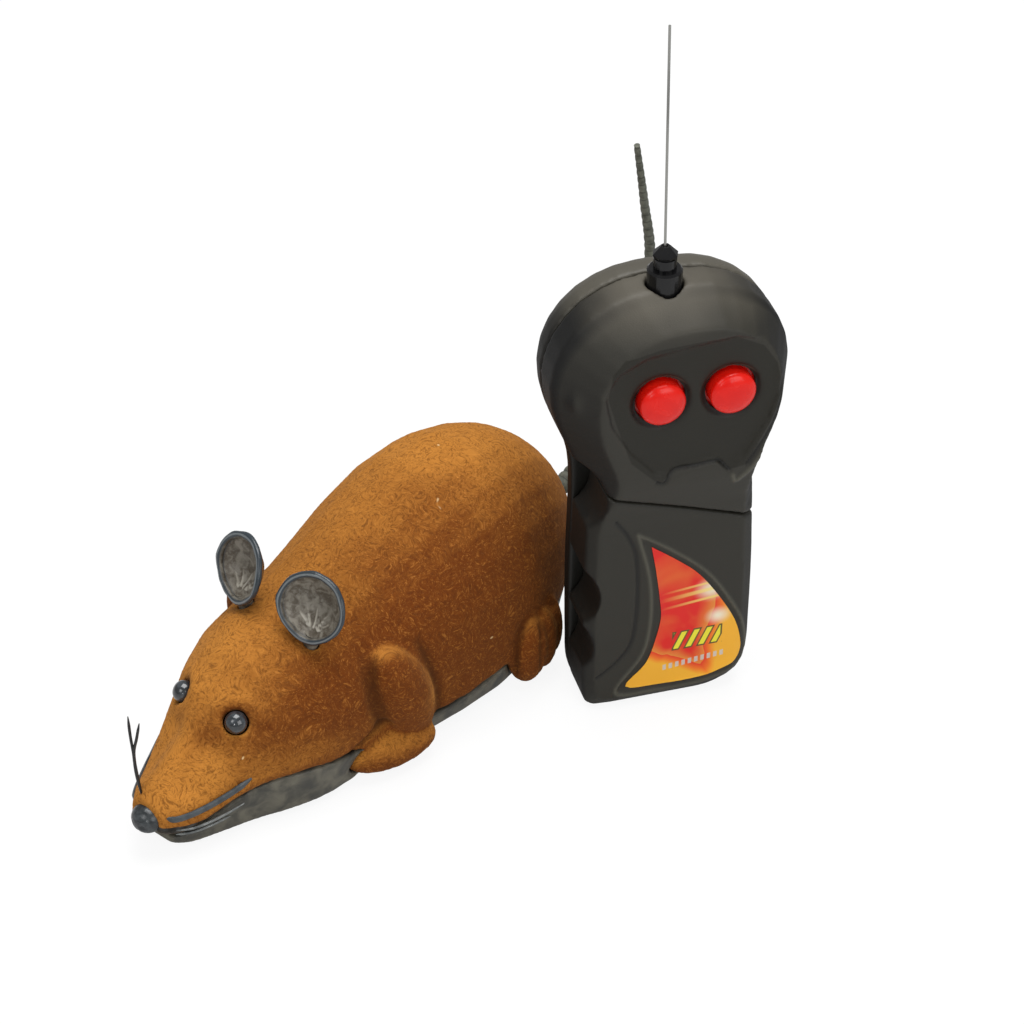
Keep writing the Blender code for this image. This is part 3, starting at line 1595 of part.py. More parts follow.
def build_remote_front():
    charcoal = material("charcoal_plastic", (0.045, 0.044, 0.040), 0.5)
    whole = face_half(0, remote_parting - fit_gap / 2)
    hollow = face_half(remote_wall + panel_depth, remote_parting + overrun)
    for up, bite in grips:
        cut(hollow, grip_scoop(up, bite, remote_wall, remote_depth))
        cut(whole, grip_scoop(up, bite))
    cut(whole, hollow)
    lower = twin(whole, "lower")
    keep(whole, seam_block(True, fit_gap / 2))
    keep(lower, seam_block(False, fit_gap / 2))
    cut(whole, plate(panel_outline(), -remote_depth, panel_level(), "XZ"))
    for x, z in button_places():
        dish = rod((x, -remote_depth, z), (x, panel_level() + button_dish_depth, z), button_dish_radius,
                   segments=24)
        cut(whole, dish)
        cut(whole, rod((x, -remote_depth, z), (x, remote_parting, z), button_radius + fit_gap, segments=20))
    for x, z in remote_screw_places():
        start = panel_level() + remote_wall + panel_depth
        join(whole, rod((x, start, z), (x, remote_parting - fit_gap, z), remote_boss_radius, segments=12))
        cut(whole, rod((x, remote_parting - remote_screw_length / 2, z), (x, remote_depth, z),
                       remote_screw_radius + fit_gap, segments=10))
    middle = remote_head_shift
    for x in (middle - remote_board_half + remote_post_inset, middle + remote_board_half - remote_post_inset):
        for z in (button_line() - board_post_drop, board_top() - remote_post_inset):
            start = panel_level() + remote_wall / 2
            join(whole, rod((x, start, z), (x, remote_board_y - fit_gap, z), remote_post_radius, segments=8))
    hole = rod((antenna_x, antenna_y, socket_base() - overrun),
               (antenna_x, antenna_y, remote_height + overrun), socket_radius + fit_gap, segments=24)
    cut(whole, hole)
    fin = [(across * fin_width, up * fin_height) for across, up in fin_outline_shares]
    cut(lower, plate(fin, -remote_depth, fin_depth, "XZ"))
    piece(whole, "remote_front_shell", charcoal, remote_pieces)
    piece(lower, "remote_lower_cover", charcoal, remote_pieces)


def socket_base():
    return remote_height - socket_base_drop


def board_top():
    return remote_height - remote_board_drop


def door_high():
    """Upper end of the handset's battery door, just under the rib."""
    return contact_rib_z() - contact_gap


def contact_rib_z():
    """Underside of the rib that backs the upper contacts."""
    return remote_cell_foot + remote_cell_length + remote_cell_nub_length + bay_room + fit_gap


def door_box(grow, thick):
    """The block that the remote's battery door is cut from."""
    return box((-remote_door_half - grow, remote_depth - thick, remote_door_low - grow),
               (remote_door_half + grow, remote_depth + overrun, door_high() + grow))


def build_remote_back():
    black = material("black_plastic", (0.02, 0.02, 0.02), 0.4)
    shell = back_half(0, remote_parting + fit_gap / 2)
    door = keep(twin(shell, "door"), door_box(-fit_gap, remote_door_thickness - fit_gap))
    hollow = back_half(remote_wall, remote_parting - overrun)
    for up, bite in grips:
        cut(hollow, grip_scoop(up, bite, remote_wall, remote_parting + remote_wall))
    cut(shell, hollow)
    rib_levels = (remote_cell_foot - bay_room - fit_gap - remote_wall / 2, contact_rib_z())
    for low in rib_levels:
        high = low + remote_wall / 2
        rib = box((-remote_width, remote_parting - overrun, low), (remote_width, remote_depth * 2, high))
        join(shell, keep(rib, back_half(remote_wall / 2, remote_parting + fit_gap)))
    cut(shell, door_box(0, remote_door_thickness))
    ledge = box((-remote_door_half + bay_rim, remote_depth - remote_wall - overrun,
                 remote_door_low + bay_rim),
                (remote_door_half - bay_rim, remote_depth + overrun, low - fit_gap))
    cut(shell, ledge)
    hole = rod((antenna_x, antenna_y, socket_base() - overrun),
               (antenna_x, antenna_y, remote_height + overrun), socket_radius + fit_gap, segments=24)
    cut(shell, hole)
    for x, z in remote_screw_places():
        boss = rod((x, remote_parting + fit_gap, z), (x, remote_depth - remote_wall / 2, z),
                   remote_boss_radius, segments=12)
        join(shell, boss)
        cut(shell, rod((x, remote_parting - overrun, z), (x, remote_depth + overrun, z),
                       remote_screw_radius + fit_gap, segments=10))
        cut(shell, rod((x, remote_depth - remote_wall, z), (x, remote_depth + overrun, z),
                       remote_screw_head + fit_gap, segments=14))
    piece(shell, "remote_back_shell", black, remote_pieces)
    piece(door, "remote_battery_door", black, remote_pieces)


def build_remote_screws():
    steel = material("steel", (0.6, 0.6, 0.6), 0.25, 1.0)
    for (x, z), label in zip(remote_screw_places(), ("left", "right")):
        seat = remote_depth - remote_wall
        screw = rod((x, seat + fit_gap, z), (x, seat + remote_wall / 2 + fit_gap, z), remote_screw_head,
                    segments=14)
        start = seat - remote_screw_length + fit_gap
        join(screw, rod((x, start, z), (x, seat + 2 * fit_gap, z), remote_screw_radius, segments=10))
        piece(screw, "remote_screw_" + label, steel, remote_pieces, (x, seat, z))


def flange_front():
    """Depth of the buttons' flanges at rest, behind the panel."""
    return panel_level() + remote_wall + fit_gap


def build_buttons():
    red = material("gloss_red", (0.75, 0.03, 0.02), 0.15)
    start = flange_front()
    rise = button_rise + start - panel_level()
    for (x, z), label in zip(button_places(), ("left", "right")):
        dome = []
        for step in range(6):
            angle = math.pi / 2 * step / 5
            dome.append((button_radius * math.sin(angle), rise - button_rise * 0.8 * (1 - math.cos(angle))))
        profile = dome + [
            (button_radius, 0), (button_radius + button_flange, 0),
            (button_radius + button_flange, -button_flange_thickness), (0, -button_flange_thickness),
        ]
        button = placed(turned(profile, 20), (x, start, z), "-Y")
        piece(button, "button_" + label, red, remote_pieces, (x, start, z), 50)


def build_remote_board():
    low = door_high() + fit_gap
    y = remote_board_y
    middle = remote_head_shift
    board = box((middle - remote_board_half, y, low),
                (middle + remote_board_half, y + remote_board_thickness, board_top()))
    chip = box((middle - 0.3 * remote_board_half, y + fit_gap, mix(low, board_top(), chip_shares[0])),
               (middle + 0.3 * remote_board_half, y + 3 * remote_board_thickness,
                mix(low, board_top(), chip_shares[1])))
    coil_z = mix(low, board_top(), coil_share)
    coil_can = rod((middle + 0.6 * remote_board_half, y + fit_gap, coil_z),
                   (middle + 0.6 * remote_board_half, y + 5 * remote_board_thickness, coil_z),
                   remote_coil_radius, segments=12)
    join(board, chip, coil_can)
    piece(board, "transmitter_board", material("green_board", (0.04, 0.16, 0.06), 0.4), remote_pieces)
    pad_back = y - fit_gap
    pad_front = flange_front() + button_flange_thickness + button_travel + fit_gap
    pad_thickness = pad_back - pad_front
    (left, height), (right, _) = button_places()
    reach = button_radius * 0.85
    pad = box((left - reach, pad_back - pad_thickness / 2, height - reach),
              (right + reach, pad_back, height + reach))
    for x in (left, right):
        join(pad, rod((x, pad_back - pad_thickness / 4, height), (x, pad_front, height),
                      button_radius * 0.5, button_radius * 0.8, segments=16))
    piece(pad, "button_pad", material("grey_rubber", (0.2, 0.2, 0.2), 0.7), remote_pieces)


def build_antenna():
    black = material("socket_black", (0.015, 0.015, 0.015), 0.35)
    edge = socket_radius * 0.12
    base = socket_base()
    shoulder = remote_height + socket_shoulder_rise
    neck_top = remote_height + socket_neck_rise
    top = remote_height + socket_rise
    socket = turned([
        (0, neck_top), (socket_neck_radius, neck_top), (socket_neck_radius, shoulder),
        (socket_radius - edge, shoulder), (socket_radius, shoulder - edge),
        (socket_radius, base), (0, base),
    ], socket_sides * 3)
    cap = turned([
        (0, top), (socket_cap_top_radius, top), (socket_cap_radius, mix(neck_top, top, 0.30)),
        (socket_cap_radius * 0.85, neck_top - fit_gap), (0, neck_top - fit_gap),
    ], socket_sides)
    join(socket, cap)
    placed(socket, (antenna_x, antenna_y, 0))
    foot = Vector((antenna_x, antenna_y, base + overrun))
    tip = Vector((antenna_x - antenna_lean, antenna_y, remote_height + rod_rise))
    rise = (tip - foot).normalized() * fit_gap
    cut(socket, rod(foot - rise, tip, rod_radius + fit_gap, segments=12))
    piece(socket, "antenna_socket", black, remote_pieces, (antenna_x, antenna_y, base))
    wire = rod(foot, tip, rod_radius, segments=10)
    piece(wire, "antenna_rod", material("steel", (0.6, 0.6, 0.6), 0.25, 1.0), remote_pieces, foot)


def build_remote_cells():
    silver = material("cell_label", (0.25, 0.25, 0.27), 0.35)
    plated = material("nickel", (0.7, 0.68, 0.62), 0.25, 1.0)
    y = remote_depth - remote_wall - fit_gap - remote_cell_radius
    top = remote_cell_foot + remote_cell_length + remote_cell_nub_length
    offset = remote_cell_spacing / 2
    middle = remote_cell_shift
    for side, label, axis in ((1, "left", "Z"), (-1, "right", "-Z")):
        start = remote_cell_foot if side > 0 else top
        x = middle + side * offset
        body = placed(cell(remote_cell_radius, remote_cell_length, remote_cell_nub_radius,
                           remote_cell_nub_length), (x, y, start), axis)
        piece(body, "remote_cell_" + label, silver, remote_pieces, (x, y, start))
    height = remote_cell_radius * 1.1
    coil = remote_cell_radius * 0.5
    low = remote_cell_foot - bay_room
    reach = bay_room - fit_gap
    bridge = contact_plate(remote_cell_spacing + height, height, (offset,), reach, coil)
    placed(bridge, (middle, y, low), "Z")
    x = middle - offset
    join(bridge, rod((x, y, low + contact_thickness / 2), (x, y, low + reach), remote_cell_nub_radius,
                     segments=14))
    piece(bridge, "remote_contact_bridge", plated, remote_pieces, (middle, y, low))
    high = top + bay_room
    plus = contact_plate(height, height, (), reach, coil)
    near = middle + offset
    placed(plus, (near, y, high), "-Z")
    join(plus, rod((near, y, high - contact_thickness / 2), (near, y, high - reach), remote_cell_nub_radius,
                   segments=14))
    piece(plus, "remote_contact_plus", plated, remote_pieces, (near, y, high))
    minus = placed(contact_plate(height, height, (0,), reach, coil), (x, y, high), "-Z")
    piece(minus, "remote_contact_minus", plated, remote_pieces, (x, y, high))


# Assembly

def assemble():
    """Put both sets of pieces under their frames, and the whole set over the origin."""
    whole = bpy.data.objects.new("set_frame", None)
    mouse = bpy.data.objects.new("mouse_frame", None)
    remote = bpy.data.objects.new("remote_frame", None)
    for frame in (whole, mouse, remote):
        parts.objects.link(frame)
    mouse.parent = whole
    remote.parent = whole
    remote.location = (*remote_place, 0)
    remote.rotation_euler = (0, 0, remote_yaw)
    for thing in mouse_pieces:
        thing.parent = mouse
    for thing in remote_pieces:
        thing.parent = remote
    bpy.context.view_layer.update()
    corners = []
    for thing in mouse_pieces + remote_pieces:
        corners += [thing.matrix_world @ vertex.co for vertex in thing.data.vertices]
    low = Vector([min(corner[axis] for corner in corners) for axis in range(3)])
    high = Vector([max(corner[axis] for corner in corners) for axis in range(3)])
    whole.location = (-(low.x + high.x) / 2, -(low.y + high.y) / 2, -low.z)
    bpy.context.view_layer.update()


def build():
    clear_scene()
    build_body_shell()
    build_chassis()
    build_face()
    build_whiskers()
    build_ears()
    build_tail()
    build_wheels()
    build_axle()
    build_gears()
    build_gearbox()
    build_motor()
    build_caster()
    build_battery_door()
    build_cells()
    build_receiver_board()
    build_switch()
    build_case_screws()
    build_remote_front()
    build_remote_back()
    build_remote_screws()
    build_buttons()
    build_remote_board()
    build_antenna()
    build_remote_cells()
    assemble()


build()
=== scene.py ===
import json
import math

import bmesh
import bpy
import numpy as np
from mathutils import Matrix, Vector, noise
from mathutils.bvhtree import BVHTree


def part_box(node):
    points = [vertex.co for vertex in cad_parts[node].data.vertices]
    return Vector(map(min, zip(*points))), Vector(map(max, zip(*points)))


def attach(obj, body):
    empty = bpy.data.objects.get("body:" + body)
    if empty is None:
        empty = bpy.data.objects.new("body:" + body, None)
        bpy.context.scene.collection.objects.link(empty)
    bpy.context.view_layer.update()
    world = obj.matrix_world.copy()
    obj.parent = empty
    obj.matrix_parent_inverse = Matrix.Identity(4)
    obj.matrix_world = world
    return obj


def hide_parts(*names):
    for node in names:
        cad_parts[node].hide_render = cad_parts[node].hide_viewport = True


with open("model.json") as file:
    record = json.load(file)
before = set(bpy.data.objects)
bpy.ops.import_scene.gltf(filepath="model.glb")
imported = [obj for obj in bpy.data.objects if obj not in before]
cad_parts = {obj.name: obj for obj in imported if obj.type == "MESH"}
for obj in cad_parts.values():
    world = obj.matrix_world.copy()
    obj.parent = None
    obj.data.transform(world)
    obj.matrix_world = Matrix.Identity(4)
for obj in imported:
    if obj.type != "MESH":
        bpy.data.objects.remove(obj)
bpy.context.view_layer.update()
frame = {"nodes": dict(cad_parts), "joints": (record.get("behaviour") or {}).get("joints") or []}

scene = bpy.context.scene
scene.view_settings.view_transform = "Standard"


# Camera and the two frames of the set
# The toy stands on its own wheels, its nose at the origin of its frame; the handset stands beside
# it on its bottom end, turned about the upright. The wheels' joint says where both are.
wheel_joint = next(joint for joint in frame["joints"] if joint["name"] == "wheel_spin")
axle_from_nose = Vector((0, 0.0980, 0.0100))
nose_origin = Vector(wheel_joint["pos_m"]) - axle_from_nose
handset_turn = math.radians(56.4)
handset = (Matrix.Translation(nose_origin + Vector((0.0533, 0.1146, 0)))
           @ Matrix.Rotation(handset_turn, 4, "Z"))
view_azimuth = math.radians(40.36)
view_elevation = math.radians(37.38)
camera_from_nose = Vector((0.38749, -0.33261, 0.47874))

across_view = Vector((math.cos(view_azimuth), math.sin(view_azimuth), 0))
toward_camera = Vector((math.sin(view_azimuth) * math.cos(view_elevation),
                        -math.cos(view_azimuth) * math.cos(view_elevation), math.sin(view_elevation)))
up_view = toward_camera.cross(across_view)
lens = bpy.data.cameras.new("camera")
lens.sensor_width = 36
lens.lens = 113.86
lens.clip_start = 0.01
camera = bpy.data.objects.new("camera", lens)
scene.collection.objects.link(camera)
camera.matrix_world = (Matrix.Translation(nose_origin + camera_from_nose)
                       @ Matrix((across_view, up_view, toward_camera)).transposed().to_4x4())
scene.camera = camera


# Table and studio
# A plain pale table under large soft lamps. It fades to white before the camera and keeps the
# soft shadow that the toy and the handset throw on it.
class Wire:
    """One value or colour on its way through a material's nodes."""

    def __init__(self, finish, socket):
        self.finish = finish
        self.socket = socket

    def math(self, operation, first, second=0.0):
        return self.finish.node("ShaderNodeMath", {"operation": operation}, {0: first, 1: second})

    def __add__(self, other):
        return self.math("ADD", self, other)

    __radd__ = __add__

    def __sub__(self, other):
        return self.math("SUBTRACT", self, other)

    def __rsub__(self, other):
        return self.math("SUBTRACT", other, self)

    def __mul__(self, other):
        return self.math("MULTIPLY", self, other)

    __rmul__ = __mul__

    def __neg__(self):
        return self.math("MULTIPLY", self, -1.0)

    def __pow__(self, other):
        return self.math("POWER", self, other)

    def __abs__(self):
        return self.math("ABSOLUTE", self)

    def __mod__(self, other):
        return self.math("FLOORED_MODULO", self, other)

    def least(self, other):
        return self.math("MINIMUM", self, other)

    def most(self, other):
        return self.math("MAXIMUM", self, other)

    def ease(self, low, high):
        """0 at low, 1 at high, smooth between them."""
        return self.finish.node("ShaderNodeMapRange", {"interpolation_type": "SMOOTHSTEP"},
                                {"Value": self, "From Min": low, "From Max": high})

    def band(self, middle, half, soft):
        """1 within half of the middle, falling to 0 over the soft width."""
        return 1 - abs(self - middle).ease(half, half + soft)

    def between(self, low, high, soft):
        """1 from low to high, rising and falling inside them over the soft width."""
        return self.ease(low, low + soft) * self.ease(high, high - soft)


class Finish:
    """One material or world, its shader, and the nodes that vary it over the surface."""

    def __init__(self, name, surface="ShaderNodeBsdfPrincipled", world=None, **constants):
        self.material = world or bpy.data.materials.new(name)
        self.material.use_nodes = True
        self.tree = self.material.node_tree
        self.tree.nodes.clear()
        self.shader = self.tree.nodes.new(surface)
        self.output = self.tree.nodes.new("ShaderNodeOutputWorld" if world else "ShaderNodeOutputMaterial")
        self.tree.links.new(self.shader.outputs[0], self.output.inputs["Surface"])
        for key, value in constants.items():
            self.shader.inputs[key.replace("_", " ")].default_value = value

    def node(self, kind, settings=None, sockets=None, output=0):
        made = self.tree.nodes.new(kind)
        for key, value in (settings or {}).items():
            if key == "stops":
                for index, (position, colour) in enumerate(value):
                    if index > 1:
                        made.color_ramp.elements.new(position)
                    made.color_ramp.elements[index].position = position
                    made.color_ramp.elements[index].color = (*colour, 1)
            else:
                setattr(made, key, value)
        for key, value in (sockets or {}).items():
            socket = made.inputs[key]
            if isinstance(value, Wire):
                self.tree.links.new(value.socket, socket)
            elif socket.type == "RGBA" and len(value) == 3:
                socket.default_value = (*value, 1)
            else:
                socket.default_value = value
        return Wire(self, made.outputs[output])

    def rays(self):
        """Whether a ray comes from the camera, through glass or off a gloss."""
        return [self.node("ShaderNodeLightPath", {}, {}, ray)
                for ray in ("Is Camera Ray", "Is Transmission Ray", "Is Glossy Ray")]

    def feed(self, **sockets):
        for key, value in sockets.items():
            self.tree.links.new(value.socket, self.shader.inputs[key.replace("_", " ")])
        return self

    def place(self, origin=nose_origin):
        """Object coordinates in millimetres from an origin."""
        spot = self.node("ShaderNodeTexCoord", {}, {}, "Object")
        moved = self.node("ShaderNodeVectorMath", {"operation": "SUBTRACT"}, {0: spot, 1: origin})
        return self.node("ShaderNodeVectorMath", {"operation": "SCALE"}, {0: moved, "Scale": 1000.0})

    def along(self, spot, axis):
        """One coordinate of a spot along an axis."""
        return self.node("ShaderNodeVectorMath", {"operation": "DOT_PRODUCT"}, {0: spot, 1: axis}, "Value")

    def grain(self, spot, per_mm, detail=3.0, twist=0.0, rough=0.5):
        """Noise with that many grains to a millimetre, from 0 to 1."""
        return self.node("ShaderNodeTexNoise", {}, {"Vector": spot, "Scale": per_mm, "Detail": detail,
                                                    "Roughness": rough, "Distortion": twist}, "Fac")

    def blend(self, share, first, second):
        return self.node("ShaderNodeMix", {"data_type": "RGBA"}, {0: share, 6: first, 7: second}, 2)

    def bump(self, height, depth, strength=1.0):
        """A normal raised by a height from 0 to 1, over that many metres."""
        return self.node("ShaderNodeBump", {}, {"Height": height, "Distance": depth, "Strength": strength},
                         "Normal")


def paint(red, green, blue):
    """A colour as it looks on a screen, 0 to 255, as the light that it reflects."""
    return tuple(part / 12.92 if part <= 0.04045 else ((part + 0.055) / 1.055) ** 2.4
                 for part in (red / 255, green / 255, blue / 255))


def kept(name, work, finish, smooth=40):
    """A finished piece from a bmesh, with its material."""
    mesh = bpy.data.meshes.new(name)
    work.to_mesh(mesh)
    work.free()
    piece = bpy.data.objects.new(name, mesh)
    scene.collection.objects.link(piece)
    mesh.materials.append(finish.material)
    mesh.shade_smooth()
    mesh.set_sharp_from_angle(angle=math.radians(smooth))
    return piece


table_top = Finish("pale_table", Roughness=0.9)
table_top.feed(Base_Color=table_top.blend(table_top.grain(table_top.place(), 0.02), (0.60, 0.60, 0.60),
                                          (0.64, 0.64, 0.64)))
white_in_camera = 0.80
white_in_gloss = 0.10
sight, clear, gloss = table_top.rays()
white = table_top.node("ShaderNodeEmission", {}, {"Color": (1, 1, 1), "Strength": 1.12})
faded = table_top.node("ShaderNodeMixShader", {}, {
    0: (sight.most(clear) * white_in_camera).most(gloss * white_in_gloss),
    1: Wire(table_top, table_top.shader.outputs[0]), 2: white})
table_top.tree.links.new(faded.socket, table_top.output.inputs["Surface"])
slab = bmesh.new()
bmesh.ops.create_grid(slab, x_segments=2, y_segments=2, size=3.0)
table = kept("pale_table", slab, table_top)

sky = Finish("studio", "ShaderNodeBackground", bpy.data.worlds.new("studio"))
scene.world = sky.material
sight, clear, gloss = sky.rays()
sky.feed(Color=sky.blend((sight + clear + gloss * 0.15).least(1), (0.22, 0.22, 0.22), (1, 1, 1)))


def lamp(name, from_target, size, watts):
    """A square soft lamp at an offset from the middle of the set, aimed at it."""
    target = nose_origin + Vector((0.02, 0.08, 0.03))
    light = bpy.data.lights.new(name, "AREA")
    light.size = size
    light.energy = watts
    made = bpy.data.objects.new(name, light)
    scene.collection.objects.link(made)
    made.location = target + Vector(from_target)
    made.rotation_euler = Vector(from_target).to_track_quat("Z", "Y").to_euler()


lamp("top_softbox", (-0.02, 0.12, 0.80), 0.60, 6.2)
lamp("front_softbox", (0.05, -0.65, 0.55), 0.35, 1.2)
lamp("right_fill", (0.65, -0.10, 0.30), 0.40, 1.3)
lamp("small_light", (0.45, -0.64, 0.24), 0.08, 0.35)


# Flocked shell
# The toy's upper body is one thin vinyl moulding with legs, brows and toes moulded in, sprayed with
# glue and coated with short orange-brown nylon flock, which softens every edge and swirls in places.
def remoulded(node, name, grain_size, passes):
    """A finer, softer copy of a CAD node's solid."""
    work = bmesh.new()
    work.from_mesh(frame["nodes"][node].data)
    bmesh.ops.remove_doubles(work, verts=work.verts, dist=0.00001)
    mesh = bpy.data.meshes.new(name + "_rough")
    work.to_mesh(mesh)
    work.free()
    rough = bpy.data.objects.new(name + "_rough", mesh)
    scene.collection.objects.link(rough)
    remesh = rough.modifiers.new("remesh", "REMESH")
    remesh.mode = "VOXEL"
    remesh.voxel_size = grain_size
    soften = rough.modifiers.new("soften", "SMOOTH")
    soften.factor = 0.5
    soften.iterations = passes
    bpy.context.view_layer.update()
    shaped = bpy.data.meshes.new_from_object(rough.evaluated_get(bpy.context.evaluated_depsgraph_get()))
    bpy.data.objects.remove(rough)
    shaped.name = name
    shaped.materials.clear()
    piece = bpy.data.objects.new(name, shaped)
    scene.collection.objects.link(piece)
    shaped.shade_smooth()
    return piece


def swept(points, steps=6):
    """Points of a smooth curve through a list of points."""
    points = [Vector(point) for point in points]
    ends = [points[0] * 2 - points[1]] + points + [points[-1] * 2 - points[-2]]
    made = []
    for before, here, after, beyond in zip(ends, ends[1:], ends[2:], ends[3:]):
        for step in range(steps):
            share = step / steps
            made.append(here + (after - before) * (share / 2)
                        + (before * 2 - here * 5 + after * 4 - beyond) * (share ** 2 / 2)
                        + (here * 3 - before - after * 3 + beyond) * (share ** 3 / 2))
    return made + [points[-1]]


def read(mesh, what, width=3):
    """A mesh's vertex places or normals as rows of numbers."""
    rows = np.empty(len(mesh.vertices) * width)
    mesh.vertices.foreach_get(what, rows)
    return rows.reshape(-1, width)


def local_mm(spots, place):
    """Places in millimetres in a frame."""
    return (spots - np.array(place.translation)) @ np.array(place.to_3x3()) * 1000


def marked(mesh, name, values):
    """Keep one number for each vertex, which the materials read."""
    layer = mesh.attributes.get(name) or mesh.attributes.new(name, "FLOAT", "POINT")
    layer.data.foreach_set("value", np.asarray(values, dtype=np.float32))


def pressed(piece, path, width, depth, place, plane=(1, 1, 1), facing=None, whole=False):
    """Press a groove into a piece along a path, or raise a ridge where the depth is negative."""
    mesh = piece.data
    spots, ways = read(mesh, "co"), read(mesh, "normal")
    local = local_mm(spots, place) * plane
    nearest = np.full(len(local), 1e9)
    for start, end in zip(path, path[1:]):
        start = np.array(start) * plane
        span = np.array(end) * plane - start
        share = np.clip((local - start) @ span / max(span @ span, 1e-12), 0, 1)
        nearest = np.minimum(nearest, np.linalg.norm(local - start - share[:, None] * span, axis=1))
    pull = np.exp(-(nearest / width) ** 2)
    if facing is not None:
        outward = np.array(place.to_3x3()) @ np.array(facing)
        pull = pull * (1 if whole else np.clip((ways @ outward - 0.4) * 3, 0, 1))
        ways = np.tile(outward, (len(ways), 1))
    mesh.vertices.foreach_set("co", (spots - ways * pull[:, None] * depth / 1000).ravel())
    # The groove strength kept here, positive in grooves and negative on ridges, is what the materials use for
    # painted shade in the grooves.
    if not whole:
        marks = np.zeros(len(spots), dtype=np.float32)
        if "groove" in mesh.attributes:
            mesh.attributes["groove"].data.foreach_get("value", marks)
        marked(mesh, "groove", marks + pull * math.copysign(1, depth))
    mesh.update()


def inside(outline, across, upright):
    """How far points lie inside an outline, in millimetres, less than 0 outside."""
    gap = np.full(len(across), 1e9)
    within = np.zeros(len(across), dtype=bool)
    for (x0, z0), (x1, z1) in zip(outline, outline[1:] + outline[:1]):
        share = np.clip(((across - x0) * (x1 - x0) + (upright - z0) * (z1 - z0))
                        / max((x1 - x0) ** 2 + (z1 - z0) ** 2, 1e-12), 0, 1)
        gap = np.minimum(gap, np.hypot(across - x0 - share * (x1 - x0), upright - z0 - share * (z1 - z0)))
        if z0 != z1:
            crossing = (z0 > upright) != (z1 > upright)
            within ^= crossing & (across < (x1 - x0) * (upright - z0) / (z1 - z0) + x0)
    return np.where(within, gap, -gap)


def both_sides(points):
    """The same points, in millimetres, on the left and on the right side of the toy."""
    return [points, [(-across, along, up) for across, along, up in points]]


def roughened(piece, per_mm, depth):
    """Lift and sink a piece's surface a little, as flock and soft mouldings do."""
    mesh = piece.data
    spots, ways = read(mesh, "co"), read(mesh, "normal")
    lift = np.array([noise.noise(Vector(spot) * 1000 * per_mm) * depth for spot in spots])
    mesh.vertices.foreach_set("co", (spots + ways * lift[:, None]).ravel())
    mesh.update()


flock = Finish("brown_flock", Sheen_Weight=0.14, Sheen_Roughness=0.5,
               Sheen_Tint=(*paint(240, 186, 120), 1), Specular_IOR_Level=0.12)
spot = flock.place()
lay = flock.node("ShaderNodeTexNoise", {}, {"Vector": spot, "Scale": 0.20, "Detail": 1.0}, "Color")
stray = flock.node("ShaderNodeVectorMath", {"operation": "SCALE"}, {0: lay, "Scale": 7.0})
swirled = flock.node("ShaderNodeVectorMath", {"operation": "ADD"}, {0: spot, 1: stray})
strands = flock.grain(swirled, 1.35, 4.0, 0.9, 0.66)
tips = flock.grain(spot, 4.2, 2.0, 0.6)
clumps = flock.grain(spot, 0.085, 3.0)
# Painted light and shade: the coat is lighter where its normal faces up and to one side, toward the top lamp,
# lighter toward the nose and low at the front, and darker on the middle of the body.
painted_facing_light = flock.along(flock.node("ShaderNodeTexCoord", {}, {}, "Normal"), (-0.55, 0.30, 0.78))
groove = flock.node("ShaderNodeAttribute", {"attribute_name": "groove"}, {}, "Fac")
bare = flock.node("ShaderNodeAttribute", {"attribute_name": "bare"}, {}, "Fac").ease(-0.10, 0.15)
from_nose = flock.along(spot, (0, 1, 0))
low_front = flock.along(spot, (0, 0, 1)).ease(27, 15) * from_nose.ease(92, 72)
painted_light_share = (painted_facing_light + clumps * 0.6 - 0.3 + from_nose.ease(46, 22) * 0.24 - from_nose.band(66, 12, 26) * 0.26
        + low_front * 0.80).ease(-0.30, 1.0)
# Painted light and shade: a shaded brown and a lit brown, mixed by that share together with large random
# clumps.
brown = flock.blend(painted_light_share, paint(112, 56, 15), paint(192, 126, 52))
brown = flock.blend(strands.ease(0.53, 0.35) * 0.62, brown, paint(84, 43, 15))
brown = flock.blend(strands.ease(0.52, 0.72) * 0.50, brown, paint(207, 138, 62))
brown = flock.blend(tips.ease(0.55, 0.85) * 0.30, brown, paint(218, 160, 90))
cells = flock.node("ShaderNodeTexVoronoi", {}, {"Vector": swirled, "Scale": 0.075}, "Distance")
brown = flock.blend(cells.ease(0.045, 0.020) * 0.8, brown, paint(236, 204, 150))
# Painted shade in the pressed creases of the coat.
brown = flock.blend(groove.most(0) * 0.62, brown, paint(62, 34, 14))
skin = flock.blend(flock.grain(spot, 0.5, 3.0).ease(0.4, 0.7), paint(30, 32, 32), paint(66, 68, 68))
flock.feed(Base_Color=flock.blend(bare, brown, skin), Roughness=0.86 + tips * 0.12 - bare * 0.56,
           Normal=flock.bump(strands * 0.7 + tips * 0.3 - bare * 0.5, 0.00026, 0.6))

toy = Matrix.Translation(nose_origin)
coat = remoulded("body_shell", "flock_coat", 0.0007, 9)
coat.data.materials.append(flock.material)
for side in (1, -1):
    hollow = [(7.4 * side, 10.0, 19.0), (6.4 * side, 15.5, 24.0)]
    pressed(coat, hollow, 4.6, 2.3, toy, facing=(0.55 * side, -0.50, 0.67), whole=True)
toe_groove = [(28.0, 100.4, 16.6), (29.4, 99.0, 12.6), (29.8, 98.8, 7.0), (29.0, 99.4, 2.5)]
foot_edge = [(25.6, 93.2, 3.0), (26.4, 93.4, 9.0), (26.3, 94.2, 14.5), (26.6, 97.3, 19.0),
             (27.0, 103.0, 19.4), (26.2, 108.5, 17.0)]
arm_crease = [(19.8, 42.0, 9.0), (20.9, 48.0, 11.6), (21.6, 54.0, 13.8), (22.6, 60.0, 15.6)]
arm_front = [(18.0, 54.0, 35.0), (20.4, 52.0, 28.0), (21.6, 52.6, 20.0), (21.6, 54.0, 14.4)]
